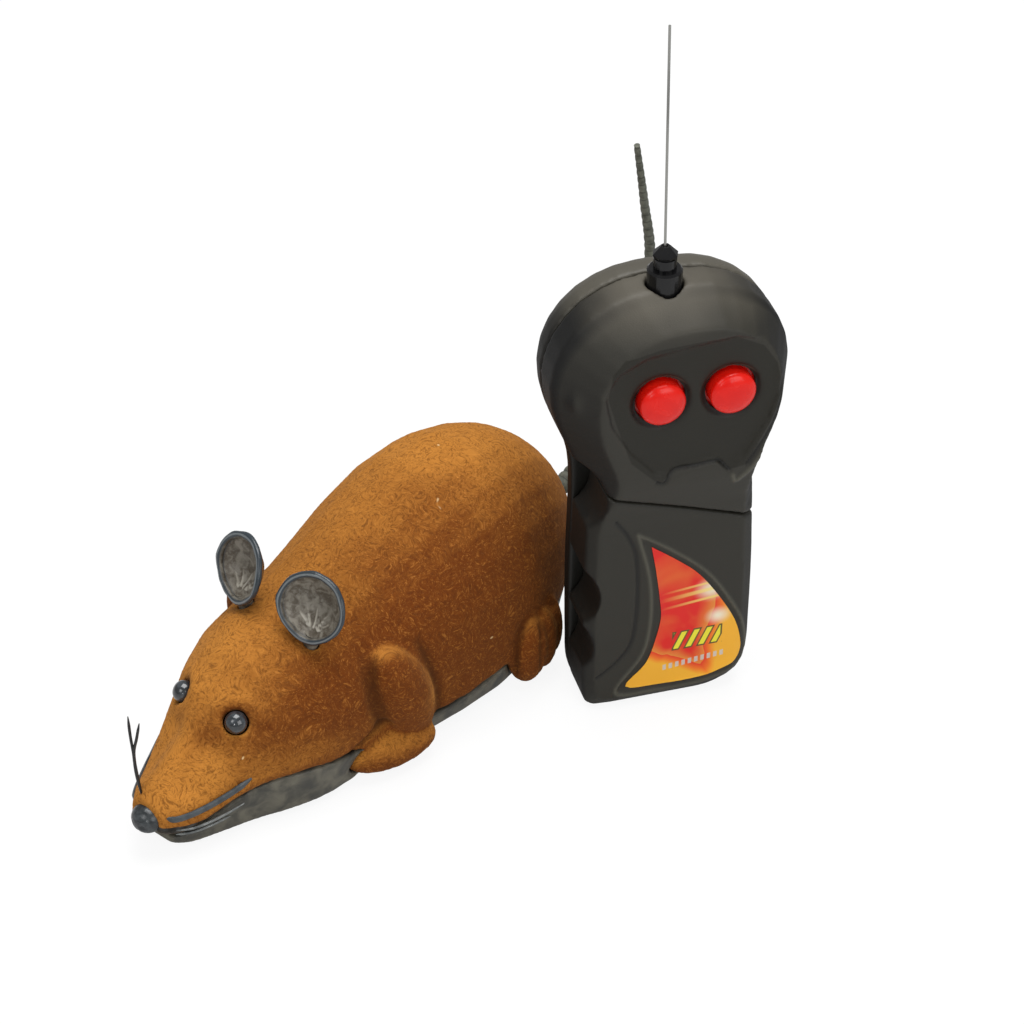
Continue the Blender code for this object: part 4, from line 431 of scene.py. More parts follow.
arm_back = [(22.0, 66.5, 30.0), (22.8, 68.8, 22.0), (23.2, 70.8, 14.3), (22.8, 71.6, 8.0)]
for path, width, depth in ((toe_groove, 0.6, 0.6), (foot_edge, 0.9, 0.9), (arm_crease, 0.9, 1.0),
                           (arm_front, 1.5, 0.9), (arm_back, 1.1, 0.4)):
    for side in both_sides(path):
        pressed(coat, swept(side), width, depth, toy)
for brow in both_sides([(3.4, 22.8, 30.0), (6.2, 25.6, 31.4), (9.4, 27.6, 30.4), (12.0, 28.6, 27.0)]):
    pressed(coat, swept(brow), 1.7, -0.45, toy)
roughened(coat, 1.3, 0.00010)
spots = local_mm(read(coat.data, "co"), toy)
gap_heights = np.interp(spots[:, 1], (2, 5, 8, 11, 14, 18, 21, 23), (9.2, 9.0, 8.7, 8.8, 9.0, 9.2, 8.6, 6.0))
marked(coat.data, "bare", np.where(spots[:, 1] < 24, gap_heights - spots[:, 2], -9))
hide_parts("body_shell")
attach(coat, "toy_set")


# Lip bands
# A bare strip along each side of the snout where the flock stops: the grey vinyl shows, worn shiny
# by handling, and its edges are rounded.
def vinyl(name, light, dark, shine, per_mm=0.35):
    """Mottled soft vinyl or satin plastic, with rubbed and greasy patches."""
    made = Finish(name, Specular_IOR_Level=0.45)
    where = made.place()
    patches = made.grain(where, per_mm, 4.0, 0.6)
    pits = made.grain(where, 2.6, 2.0)
    made.feed(Base_Color=made.blend(patches.ease(0.30, 0.75), dark, light),
              Roughness=shine + patches * 0.18,
              Normal=made.bump(pits * 0.5 + patches * 0.5, 0.00006, 0.5))
    return made


def ring(work, before, centre, ahead, radius, sides, side_axis="Y", flat=1.0):
    """One ring of a tube, joined to the edges of the ring before it, or closed where it is the first."""
    loop = bmesh.ops.create_circle(work, segments=sides, radius=radius,
                                   matrix=Matrix.Translation(centre)
                                   @ ahead.to_track_quat("Z", side_axis).to_matrix().to_4x4()
                                   @ Matrix.Diagonal((flat, 1, 1, 1)))["verts"]
    edges = list({edge for vertex in loop for edge in vertex.link_edges})
    if before:
        bmesh.ops.bridge_loops(work, edges=before + edges)
    else:
        bmesh.ops.contextual_create(work, geom=edges)
    return loop, edges


def strip(name, paths, radius, finish, flat=1.0):
    """Round strips along paths in millimetres, thinner toward their ends."""
    work = bmesh.new()
    for path in paths:
        points = [nose_origin + point / 1000 for point in swept(path)]
        last = len(points) - 1
        before = None
        for index, point in enumerate(points):
            ahead = (points[min(index + 1, last)] - points[max(index - 1, 0)]).normalized()
            share = min(index, last - index) / last
            size = radius * min(1, 0.35 + share * 6)
            before = ring(work, before, point, ahead, size, 8, flat=flat)[1]
        bmesh.ops.contextual_create(work, geom=before)
    bmesh.ops.recalc_face_normals(work, faces=work.faces)
    return kept(name, work, finish, 60)


blue_grey = vinyl("rubbed_grey_vinyl", paint(82, 88, 92), paint(54, 60, 64), 0.22)
# Painted highlight: the gum lines are given a pale colour that stands for the shine along the two glossy
# ridges of the jaw.
gum_shine = vinyl("gum_line_painted_highlight", paint(150, 154, 152), paint(84, 88, 88), 0.15)
lip_line = [(12.9, 22.6, 15.3), (11.9, 19.2, 14.0), (10.7, 15.8, 12.9), (9.4, 12.4, 12.0),
            (7.9, 9.0, 11.3), (6.3, 6.2, 11.0), (4.6, 4.6, 11.4)]
lip_band = strip("lip_band", both_sides(lip_line), 0.00085, blue_grey, 0.55)
upper_gum = [(12.3, 20.6, 9.2), (11.0, 16.6, 8.3), (9.6, 12.6, 7.7), (8.1, 9.2, 7.5), (6.3, 6.4, 7.9),
             (4.2, 4.9, 8.5)]
lower_gum = [(10.7, 17.6, 6.6), (9.2, 13.2, 6.1), (7.6, 9.2, 6.0), (5.8, 6.2, 6.4)]
gum_lines = strip("gum_lines", both_sides(upper_gum) + both_sides(lower_gum), 0.00032, gum_shine, 0.8)
for piece in (lip_band, gum_lines):
    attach(piece, "toy_set")


# Jaw, floor and wheel wells
# The toy's underbody is one dark grey moulding: the jaw in front, a tray with the battery bay and
# wells for the wheels behind, with pale rubbed patches on the jaw and two raised gum lines.
jaw_grey = vinyl("satin_jaw_grey", paint(110, 106, 92), paint(60, 59, 53), 0.34, 0.22)
tray = remoulded("chassis", "jaw_and_tray", 0.0008, 4)
tray.data.materials.append(jaw_grey.material)
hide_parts("chassis")
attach(tray, "toy_set")


# Nose
# A glossy dark grey vinyl bulb pushed on a stem in the tip of the snout, with two small nostrils
# and a shallow line between them.
nose_grey = vinyl("shiny_nose_vinyl", paint(78, 83, 85), paint(40, 43, 45), 0.14, 0.5)
work = bmesh.new()
bmesh.ops.create_uvsphere(work, u_segments=48, v_segments=32, radius=1)
low, high = (Vector(corner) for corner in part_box("nose"))
nose_centre = nose_origin + Vector((0, 0.0039, 0.0096))
nose_size = Vector(((high.x - low.x) / 2, nose_centre.y - low.y, (high.z - low.z) / 2)) * 0.93
for vertex in work.verts:
    across, along, up = vertex.co
    nostril = math.exp(-((abs(across) - 0.42) / 0.15) ** 2 - ((up + 0.05) / 0.13) ** 2)
    midline = math.exp(-(across / 0.07) ** 2) * (up < 0.1)
    dent = (0.16 * nostril + 0.05 * midline) * (along < 0)
    vertex.co *= 1 - dent
    vertex.co = Vector((vertex.co.x * nose_size.x, vertex.co.y * nose_size.y, vertex.co.z * nose_size.z))
    vertex.co += nose_centre
nose_bulb = kept("nose_bulb", work, nose_grey, 80)
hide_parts("nose")
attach(nose_bulb, "toy_set")


# Eyes
# Two glossy black plastic beads, each moulded with a shank, pressed and glued in round sockets in
# the flocked shell. They stand proud of it by more than half and catch the light.
bead_black = Finish("glossy_eye_bead", Coat_Weight=0.6, Coat_Roughness=0.05, Specular_IOR_Level=0.6)
spot = bead_black.place()
cloud = bead_black.grain(spot, 0.5, 3.0)
bead_black.feed(Base_Color=bead_black.blend(cloud.ease(0.35, 0.7), paint(28, 32, 36), paint(62, 68, 74)),
                Roughness=0.14 + cloud * 0.14)
for name, side in (("eye_left", 1), ("eye_right", -1)):
    low, high = (Vector(corner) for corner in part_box(name))
    middle = (low + high) / 2
    radius = (high.z - low.z) / 2 * 0.95
    outward = Vector((0.78 * side, -0.45, 0.43)).normalized()
    work = bmesh.new()
    bmesh.ops.create_uvsphere(work, u_segments=32, v_segments=24, radius=radius)
    for vertex in work.verts:
        out = max(0, vertex.co.z / radius)
        vertex.co.z -= radius * 0.06 * out ** 4
    work.transform(Matrix.Translation(middle) @ outward.to_track_quat("Z", "Y").to_matrix().to_4x4())
    bead = kept(name.replace("eye", "eye_bead"), work, bead_black, 80)
    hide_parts(name)
    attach(bead, "toy_set")


# Ears
# Two soft vinyl cups with a rolled rim, glued by a stem in the head. Folds run up from low in the
# cup; the bare vinyl inside is blotched brown, with painted highlights on the folds and along the rim.
ear_rim = paint(50, 58, 64)
ear_vinyl = Finish("ear_cup_vinyl", Specular_IOR_Level=0.5)
spot = ear_vinyl.place()
rim = ear_vinyl.node("ShaderNodeAttribute", {"attribute_name": "rim"}, {}, "Fac")
fold = ear_vinyl.node("ShaderNodeAttribute", {"attribute_name": "fold"}, {}, "Fac")
blotch = ear_vinyl.grain(spot, 0.55, 4.0, 0.8)
speck = ear_vinyl.grain(spot, 2.2, 3.0, 0.5, 0.7)
cup = ear_vinyl.blend(blotch.ease(0.34, 0.66), paint(84, 75, 62), paint(138, 132, 120))
cup = ear_vinyl.blend(speck.ease(0.52, 0.72) * 0.5, cup, paint(152, 146, 136))
# Painted highlight: the folds are drawn pale.
cup = ear_vinyl.blend(fold.ease(0.25, 0.85) * 0.70, cup, paint(202, 196, 182))
cup = ear_vinyl.blend(rim.ease(0.10, 0.45), cup, ear_rim)
# Painted highlight: a thin pale line along the rolled rim.
cup = ear_vinyl.blend(rim.band(0.80, 0.07, 0.12) * 0.6, cup, paint(140, 146, 148))
ear_vinyl.feed(Base_Color=cup, Roughness=0.44 - rim * 0.20,
               Normal=ear_vinyl.bump(blotch * 0.5 + speck * 0.5, 0.00010, 0.6))


def turned(work, profile, axis, steps, closed=False):
    """Turn a profile round an axis through the origin, with its seam and poles closed."""
    line = [work.verts.new(point) for point in profile]
    edges = [work.edges.new(pair) for pair in zip(line, line[1:] + line[:1] if closed else line[1:])]
    bmesh.ops.spin(work, geom=line + edges, cent=(0, 0, 0), axis=axis, angle=math.tau, steps=steps,
                   use_merge=True)
    bmesh.ops.remove_doubles(work, verts=work.verts, dist=0.000005)
    bmesh.ops.recalc_face_normals(work, faces=work.faces)


ear_radius = 0.0083
ear_depth = 0.0034
ear_wall = 0.0007
ear_roll = 0.00075
fold_width = 0.34
fold_height = 0.00060
ear_turn = math.radians(15)
ear_lean = math.radians(20)
folds = (((-1.4, -4.6), (-4.6, -1.6)), ((-0.9, -4.6), (-2.6, -1.0)), ((0.1, -4.9), (-0.2, -1.2)),
         ((0.9, -4.9), (2.7, -1.4)), ((1.5, -5.2), (4.3, -2.9)))
for name, side in (("ear_left", 1), ("ear_right", -1)):
    work = bmesh.new()
    fold_layer = work.verts.layers.float.new("fold")
    rim_layer = work.verts.layers.float.new("rim")
    flat_radius = ear_radius - ear_roll
    profile = [(flat_radius * step / 14, -ear_depth * (1 - (step / 14) ** 2.2)) for step in range(14)]
    profile += [(flat_radius + ear_roll * math.cos(math.radians(angle)),
                 ear_roll * math.sin(math.radians(angle))) for angle in range(180, -60, -30)]
    profile += [(flat_radius * step / 14 - ear_wall * 0.3, -ear_depth * (1 - (step / 14) ** 2.2) - ear_wall)
                for step in range(13, 0, -1)]
    profile += [(0, -ear_depth - ear_wall)]
    turned(work, [(max(radius, 0), 0, level) for radius, level in profile], (0, 0, 1), 72)
    for vertex in work.verts:
        across, upright = vertex.co.x * 1000, vertex.co.y * 1000
        reach = math.hypot(across, upright) / 1000 / ear_radius
        raised = 0
        if vertex.normal.z > 0.2 and reach < 0.93:
            for start, end in folds:
                span = Vector(end) - Vector(start)
                off = Vector((across * side, upright)) - Vector(start)
                share = min(max(off.dot(span) / span.length_squared, 0), 1)
                gap = (off - span * share).length
                raised = max(raised, math.exp(-(gap / fold_width) ** 2) * (1 - 0.5 * share))
        vertex[fold_layer] = raised
        vertex[rim_layer] = min(max((reach - 0.80) / 0.14, 0), 1) if vertex.normal.z > -0.5 else 1
        vertex.co.z += raised * fold_height
        lower = max(0.0, -vertex.co.y / ear_radius)
        vertex.co.x *= 1 - 0.22 * lower ** 2
        vertex.co.z += ear_depth * 0.30 * (vertex.co.x / ear_radius) ** 2
        vertex.co += vertex.normal * noise.noise(vertex.co * 420 + Vector((side, 0, 0))) * 0.00022
    facing = Vector((math.sin(ear_turn) * math.cos(ear_lean) * side,
                     -math.cos(ear_turn) * math.cos(ear_lean), math.sin(ear_lean)))
    level_axis = Vector((0, 0, 1)).cross(facing).normalized()
    axes = Matrix((level_axis, facing.cross(level_axis), facing)).transposed().to_4x4()
    ear_centre = nose_origin + Vector((0.0104 * side, 0.0458, 0.0462))
    work.transform(Matrix.Translation(ear_centre) @ axes)
    stem_top = ear_centre + axes.to_3x3() @ Vector((0, -ear_radius * 0.72, -ear_depth * 0.62))
    stem_foot = stem_top + Vector((-side * 0.0016, 0, -0.0066))
    stem = stem_foot - stem_top
    bmesh.ops.create_cone(work, cap_ends=True, segments=20, radius1=0.0018, radius2=0.0015, depth=stem.length,
                          matrix=Matrix.Translation((stem_top + stem_foot) / 2)
                          @ stem.to_track_quat("Z", "Y").to_matrix().to_4x4())
    ear = kept(name.replace("ear", "ear_cup"), work, ear_vinyl, 60)
    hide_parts(name)
    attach(ear, "toy_set")


# Whiskers
# Two stiff black nylon filaments in one tuft, crimped together below and glued in a hole on top of
# the snout behind the nose. They part at half their length.
filament = Finish("black_nylon_filament", Specular_IOR_Level=0.5)
spot = filament.place()
filament.feed(Base_Color=filament.blend(filament.grain(spot, 0.8), paint(10, 10, 11), paint(34, 32, 32)),
              Roughness=0.30 + filament.grain(spot, 2.0) * 0.2)
whisker_root = (-2.4, 5.0, 12.9)
whisker_paths = (
    (whisker_root, (-2.9, 4.3, 20.0), (-3.1, 4.2, 25.7), (-3.9, 4.5, 30.0), (-4.5, 4.85, 34.6)),
    (whisker_root, (-2.8, 4.4, 20.0), (-3.0, 4.3, 25.7), (-2.4, 4.9, 29.8), (-2.0, 5.6, 33.6)),
)
whisker_strands = strip("whisker_strands", whisker_paths, 0.00033, filament)
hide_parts("whisker_tuft")
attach(whisker_strands, "toy_set")


# Tail
# A tapered tail of soft grey-green rubber, moulded with close rings. It is pushed in a hole in the
# rump, runs back along the floor and rises in one bend.
tail_rubber = Finish("ringed_tail_rubber", Specular_IOR_Level=0.35)
spot = tail_rubber.place()
ring_height = tail_rubber.node("ShaderNodeAttribute", {"attribute_name": "ring"}, {}, "Fac")
dust = tail_rubber.grain(spot, 0.5, 3.0)
rubber = tail_rubber.blend(dust.ease(0.35, 0.7), paint(84, 86, 76), paint(116, 118, 106))
# Painted shade in the valleys between the rings.
rubber = tail_rubber.blend(1 - ring_height.ease(0.0, 0.6), rubber, paint(34, 36, 30))
tail_rubber.feed(Base_Color=rubber, Roughness=0.52 + dust * 0.2,
                 Normal=tail_rubber.bump(tail_rubber.grain(spot, 3.0), 0.00006, 0.5))
tail_points = [(0, 129.0, 18.0), (0, 138.5, 18.6), (0, 150.0, 22.2), (0, 162.0, 32.8), (0, 170.0, 49.0),
               (0, 173.0, 67.2), (0, 170.1, 84.5), (0, 166.9, 100.5)]
tail_root = 2.4
tail_tip = 0.74
ring_pitch = 2.2
ring_depth = 0.16
path = swept(tail_points, 60)
spans = [0.0]
for here, after in zip(path, path[1:]):
    spans.append(spans[-1] + (after - here).length)
work = bmesh.new()
ring_layer = work.verts.layers.float.new("ring")
before = None
stations = int(spans[-1] / ring_pitch * 8)
for station in range(stations + 1):
    travel = spans[-1] * station / stations
    index = min(np.searchsorted(spans, travel), len(path) - 1)
    ahead = (path[min(index + 1, len(path) - 1)] - path[max(index - 1, 0)]).normalized()
    share = station / stations
    crest = abs(math.sin(math.pi * travel / ring_pitch)) ** 0.6 if travel > 5 else 1
    size = (tail_root + (tail_tip - tail_root) * share ** 1.25) * (1 - ring_depth + ring_depth * crest)
    loop, before = ring(work, before, nose_origin + path[index] / 1000, ahead, size / 1000, 18, "X")
    for vertex in loop:
        vertex[ring_layer] = crest
bmesh.ops.contextual_create(work, geom=before)
bmesh.ops.recalc_face_normals(work, faces=work.faces)
tail = kept("ringed_tail", work, tail_rubber, 60)
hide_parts("tail")
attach(tail, "toy_set")


# Rear wheels, tyres and axle
# Black moulded hubs with five holes, pressed on a steel axle, each in a soft rubber tyre that is
# moulded with cross treads and stretched over the hub.
def dress(node, finish):
    """Give a CAD node its finish."""
    data = frame["nodes"][node].data
    data.materials.clear()
    data.materials.append(finish.material)


def moulded(name, base, lighter, shine, per_mm=1.2, depth=0.00004):
    """A satin moulded plastic with a fine grain and faint flow marks."""
    made = Finish(name, Specular_IOR_Level=0.4)
    where = made.place()
    fine = made.grain(where, per_mm, 3.0)
    flow = made.grain(where, 0.07, 3.0, 0.8)
    made.feed(Base_Color=made.blend(flow.ease(0.3, 0.7), base, lighter), Roughness=shine + fine * 0.14,
              Normal=made.bump(fine, depth, 0.6))
    return made


def metal(name, base, darker, shine, stretch=(1, 1, 1)):
    """Bright metal with fine lengthwise marks and a few dull patches."""
    made = Finish(name, Metallic=1.0)
    where = made.node("ShaderNodeVectorMath", {"operation": "MULTIPLY"}, {0: made.place(), 1: stretch})
    lines = made.grain(where, 2.5, 3.0)
    dull = made.grain(where, 0.3, 2.0)
    made.feed(Base_Color=made.blend(dull.ease(0.4, 0.75), base, darker), Roughness=shine + lines * 0.22)
    return made


hub_black = moulded("hub_black", paint(24, 24, 24), paint(36, 36, 35), 0.38)
axle_steel = metal("axle_steel", paint(196, 196, 192), paint(150, 148, 142), 0.18, (0.2, 1, 1))
tyre_rubber = moulded("tyre_rubber", paint(20, 20, 20), paint(36, 35, 34), 0.70, 1.6, 0.00008)
lugs = 32
tread_depth = 0.00030
for name in ("wheel_left", "wheel_right"):
    dress(name, hub_black)
dress("drive_axle", axle_steel)
for name in ("tyre_left", "tyre_right"):
    low, high = (Vector(corner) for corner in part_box(name))
    middle = (low + high) / 2
    radius = (high.z - low.z) / 2
    half = (high.x - low.x) / 2
    work = bmesh.new()
    band = [(-half, radius - 0.0022), (-half, radius - 0.0007), (-half * 0.62, radius - 0.0001),
            (half * 0.62, radius - 0.0001), (half, radius - 0.0007), (half, radius - 0.0022)]
    turned(work, [(along, 0, reach) for along, reach in band], (1, 0, 0), 96, closed=True)
    for face in list(work.faces):
        centre = face.calc_center_median()
        on_tread = abs(centre.x) < half * 0.6 and math.hypot(centre.y, centre.z) > radius - 0.0005
        lug_share = math.atan2(centre.y, centre.z) / math.tau * lugs % 1
        if on_tread and lug_share < 0.34:
            bmesh.ops.inset_individual(work, faces=[face], thickness=0.00006, depth=-tread_depth)
    work.transform(Matrix.Translation(middle))
    tyre = kept(name.replace("tyre", "treaded_tyre"), work, tyre_rubber, 30)
    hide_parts(name)
    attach(tyre, "drive_wheels")


# Gear train and motor
# White nylon gears on steel pins with a brass pinion, closed in a grey nylon box, and a small
# zinc-plated motor can.
gear_nylon = moulded("gear_nylon", paint(222, 220, 212), paint(236, 234, 228), 0.40)
gearbox_nylon = moulded("gearbox_nylon", paint(142, 144, 142), paint(160, 161, 158), 0.42)
pinion_brass = metal("pinion_brass", paint(206, 172, 98), paint(170, 132, 66), 0.22, (1, 1, 0.3))
motor_zinc = metal("motor_zinc", paint(178, 180, 180), paint(140, 142, 144), 0.26)
for name in ("axle_gear", "idler_gear"):
    dress(name, gear_nylon)
for name in ("gearbox_housing", "gearbox_cover"):
    dress(name, gearbox_nylon)
dress("idler_pin", axle_steel)
dress("motor_pinion", pinion_brass)
dress("drive_motor", motor_zinc)


# Front caster
# A small black roller on a steel pin in a dark grey moulded fork. The fork's post turns in a socket
# in the jaw, so that the toy steers when it runs backward.
dress("caster_yoke", moulded("fork_grey", paint(48, 49, 48), paint(62, 62, 60), 0.36))
dress("caster_wheel", moulded("roller_black", paint(22, 22, 22), paint(38, 37, 36), 0.42))
dress("caster_pin", axle_steel)


# Batteries, contacts and door of the toy
# Two AAA cells in printed film with bare ends, nickel-plated contacts, and a dark grey door.
def cell_film(name, centre, axis, length):
    """Printed film in two plain colours round a cell, and bare metal at its ends."""
    made = Finish(name, Specular_IOR_Level=0.5)
    where = made.place(centre)
    run = made.along(where, axis)
    grain = made.grain(where, 0.6, 2.0)
    cap = (run.ease(length - 0.9, length - 0.7) + run.ease(0.9, 0.7)).least(1)
    film = made.blend(run.ease(length * 0.66, length * 0.66 + 0.15), paint(46, 50, 54), paint(188, 112, 44))
    film = made.blend(grain.ease(0.45, 0.8) * 0.15, film, paint(230, 230, 230))
    made.feed(Base_Color=made.blend(cap, film, paint(190, 190, 186)), Metallic=cap,
              Roughness=0.24 + grain * 0.16)
    return made


along, up = 1, 2
for name, axis, bare_end in (("cell_left", along, 0.8), ("cell_right", along, 0.8),
                             ("remote_cell_left", up, 1.0), ("remote_cell_right", up, 1.0)):
    low, high = (Vector(corner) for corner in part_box(name))
    ahead = 1 if name.endswith("left") else -1
    foot = (low + high) / 2
    foot[axis] = low[axis] if ahead > 0 else high[axis]
    way = Vector((0, 0, 0))
    way[axis] = ahead
    dress(name, cell_film("film_of_" + name, foot, way, (high[axis] - low[axis]) * 1000 - bare_end))
contact_nickel = metal("contact_nickel", paint(206, 202, 190), paint(168, 162, 146), 0.20)
for name in ("contact_minus", "contact_plus", "contact_bridge", "remote_contact_minus",
             "remote_contact_plus", "remote_contact_bridge"):
    dress(name, contact_nickel)
dress("battery_door", moulded("door_grey", paint(46, 47, 46), paint(58, 58, 56), 0.40))


# Boards, switch and rubber pad
# Green boards with copper tracks under the lacquer, a plated slide switch with a black knob, and
# the grey rubber pad that returns the handset's buttons.
def board_lacquer(name, axis_a, axis_b):
    """Green lacquer over copper tracks, with tinned dots where parts are soldered."""
    made = Finish(name, Specular_IOR_Level=0.5)
    where = made.place()
    run, rise = made.along(where, axis_a), made.along(where, axis_b)
    bend = made.grain(where, 0.12, 1.0) * 4
    tracks = abs((run + bend) % 1.6 - 0.8).ease(0.34, 0.26)
    tracks = tracks.most(abs((rise + bend) % 2.4 - 1.2).ease(0.24, 0.16))
    pads = made.node("ShaderNodeTexVoronoi", {"feature": "F1"}, {"Vector": where, "Scale": 0.5}, "Distance")
    tin = pads.ease(0.20, 0.14)
    green = made.blend(tracks, paint(24, 84, 46), paint(52, 122, 64))
    made.feed(Base_Color=made.blend(tin, green, paint(200, 200, 196)), Roughness=0.38 - tin * 0.14,
              Metallic=tin * 0.9, Normal=made.bump(tracks, 0.00003))
    return made


handset_across = handset.to_3x3() @ Vector((1, 0, 0))
handset_deep = handset.to_3x3() @ Vector((0, 1, 0))
dress("receiver_board", board_lacquer("receiver_lacquer", (1, 0, 0), (0, 1, 0)))
dress("transmitter_board", board_lacquer("transmitter_lacquer", handset_across, (0, 0, 1)))
dress("button_pad", moulded("pad_rubber", paint(112, 112, 110), paint(126, 126, 122), 0.6))
dress("switch_body", contact_nickel)
dress("switch_knob", moulded("knob_black", paint(24, 24, 24), paint(40, 40, 40), 0.35))


# Screws
# Small pan-head screws of bright steel with a cross recess, which hold the casings and the battery
# door. They are seen in their holes from below and from behind.
def cross_headed(name, centre, first, second):
    """Bright steel with a cross recess in the head, drawn dark with painted shade."""
    made = Finish(name, Metallic=1.0)
    where = made.place(centre)
    run, rise = abs(made.along(where, first)), abs(made.along(where, second))
    arm, half_width = 1.15, 0.30
    slot = ((run.ease(half_width, 0.22) * rise.ease(arm, arm - 0.1))
            .most(rise.ease(half_width, 0.22) * run.ease(arm, arm - 0.1)))
    marks = made.grain(where, 1.8, 3.0)
    # Painted shade: the cross recess is drawn dark.
    made.feed(Base_Color=made.blend(slot, paint(190, 190, 186), paint(40, 40, 40)),
              Roughness=0.22 + marks * 0.2 + slot * 0.3, Normal=made.bump(1 - slot, 0.0003, 0.8))
    return made


in_floor = ((1, 0, 0), (0, 1, 0))
in_back = (handset_across, (0, 0, 1))
for name, arms in (("case_screw_front", in_floor), ("case_screw_left", in_floor),
                   ("case_screw_right", in_floor), ("battery_door_screw", in_floor),
                   ("remote_screw_left", in_back), ("remote_screw_right", in_back)):
    low, high = (Vector(corner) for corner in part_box(name))
    dress(name, cross_headed("steel_of_" + name, (low + high) / 2, *arms))


# Handset covers
# Charcoal ABS with a fine spark texture: a head cover with a sunk panel and brow, and a grip cover
# with finger hollows and a fin-shaped ground for the label. The tub behind them is smoother black.
button_places = (-4.2, 11.4)
button_rise = 83.6


def charcoal(name, base, lit_top_colour, dark, shine, rise_from, side_from):
    """Spark-textured plastic, with painted light making it warmer and paler on top and painted shade making
    it near black down the sides, which are smoother.
    """
    made = Finish(name, Specular_IOR_Level=0.38)
    where = made.place(handset.translation)
    sparks = made.grain(where, 3.2, 3.0, 0.0, 0.65)
    cast = made.grain(where, 0.05, 2.0)
    rise = made.along(where, (0, 0, 1))
    run = made.along(where, handset_across)
    deep = made.along(where, handset_deep)
    mark = made.node("ShaderNodeAttribute", {"attribute_name": "groove"}, {}, "Fac")
    panel = made.node("ShaderNodeAttribute", {"attribute_name": "panel"}, {}, "Fac")
    # Painted light on the top; painted shade down the sides, both where the normal faces across the handset
    # and behind the face.
    top = (rise + cast * 8 - 4).ease(rise_from, rise_from + 12)
    facing = made.along(made.node("ShaderNodeTexCoord", {}, {}, "Normal"), handset_across)
    side = deep.ease(side_from, side_from + 2.5).most(abs(facing).ease(0.35, 0.90)) * (1 - top)
    # The lit top colour and the near black shaded side colour are mixed in by that painted light and shade.
    tone = made.blend(top, base, lit_top_colour)
    tone = made.blend(side, tone, dark)
    tone = made.blend(panel.ease(-0.15, 0.25), tone, paint(30, 28, 19))
    # Painted highlights: pale crescents on the upper rim of the dish round each button.
    painted_rim_highlights = 0
    above = rise - button_rise
    for button_x in button_places:
        reach = ((run - button_x) * (run - button_x) + above * above) ** 0.5
        painted_rim_highlights = reach.band(6.5, 0.15, 0.45) * above.ease(3.4, 5.6) * deep.ease(4, 3) + painted_rim_highlights
    tone = made.blend(painted_rim_highlights * 0.7, tone, paint(112, 118, 106))
    # Painted shade in the pressed grooves, which also draws the dark seam between the covers; the raised
    # ridges are drawn lighter.
    tone = made.blend(mark.most(0) * 0.85, tone, paint(16, 16, 15))
    tone = made.blend((-mark).most(0) * 0.45, tone, paint(112, 110, 96))
    made.feed(Base_Color=tone, Roughness=shine + sparks * 0.16 + cast * 0.06 + side * 0.12,
              Normal=made.bump(sparks, 0.00005, 0.6))
    return made


cover_charcoal = charcoal("spark_charcoal", paint(48, 46, 39), paint(96, 91, 80), paint(7, 7, 6),
                          shine=0.42, rise_from=98, side_from=2.6)
tub_black = charcoal("tub_black", paint(12, 12, 11), paint(98, 94, 84), paint(9, 9, 8),
                     shine=0.38, rise_from=92, side_from=99)
front = (0, -1, 0)


def on_face(points):
    """Points on the handset's face in millimetres, across and up."""
    return swept([(across, 0, up) for across, up in points])


def face_press(piece, points, width, depth):
    """A groove or ridge on the handset's face."""
    pressed(piece, on_face(points), width, depth, handset, (1, 0, 1), front)


seam_line = [(-20.0, 62.0), (26.0, 45.2)]
panel_outline = [(-14.1, 80.2), (-16.0, 87.0), (-15.2, 93.2), (-12.5, 96.5), (-4.9, 98.1), (3.8, 98.4),
                 (11.5, 98.2), (18.3, 94.4), (21.5, 89.5), (22.7, 83.3), (21.5, 77.0), (18.4, 71.1),
                 (15.3, 64.5), (11.5, 63.7), (8.4, 66.5), (-0.6, 65.6), (-3.2, 63.0), (-4.6, 63.3),
                 (-10.8, 69.9)]
head_cover = remoulded("remote_front_shell", "handset_head_cover", 0.00045, 16)
head_cover.data.materials.append(cover_charcoal.material)
for side in (1, -1):
    work = bmesh.new()
    work.from_mesh(head_cover.data)
    spots = local_mm(read(head_cover.data, "co"), handset)
    near_boss = (np.hypot(spots[:, 0] - 21.4 * side, spots[:, 2] - 85.0) < 3.6) & (spots[:, 1] < 3.4)
    work.verts.ensure_lookup_table()
    patch = [work.verts[index] for index in np.flatnonzero(near_boss)]
    for _ in range(30):
        bmesh.ops.smooth_vert(work, verts=patch, factor=0.5, use_axis_x=True, use_axis_y=True,
                              use_axis_z=True)
    work.to_mesh(head_cover.data)
    work.free()
spots = local_mm(read(head_cover.data, "co"), handset)
marked(head_cover.data, "panel",
       np.where(spots[:, 1] < 4, inside(panel_outline, spots[:, 0], spots[:, 2]), -9))
face_press(head_cover, [(22.9, 85.4), (22.3, 79.1), (20.3, 72.9), (17.2, 67.2), (15.6, 64.6)], 0.45, 0.5)
face_press(head_cover, [(-4.8, 63.5), (-3.2, 62.9), (-1.9, 64.6), (-0.6, 65.8), (4.0, 66.3),
                        (8.6, 66.6), (10.4, 65.0), (11.6, 63.6)], 0.34, 0.6)
face_press(head_cover, [(12.4, 62.0), (13.2, 60.2), (14.9, 61.6), (17.2, 64.3), (20.0, 68.6)], 0.5, -0.45)
face_press(head_cover, seam_line, 0.50, 0.15)
for button_x in button_places:
    rim_line = [(button_x + 6.0 * math.sin(math.radians(angle)),
                 button_rise + 0.3 + 6.0 * math.cos(math.radians(angle))) for angle in range(0, 361, 20)]
    face_press(head_cover, rim_line, 0.55, 0.35)
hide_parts("remote_front_shell")
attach(head_cover, "toy_set")

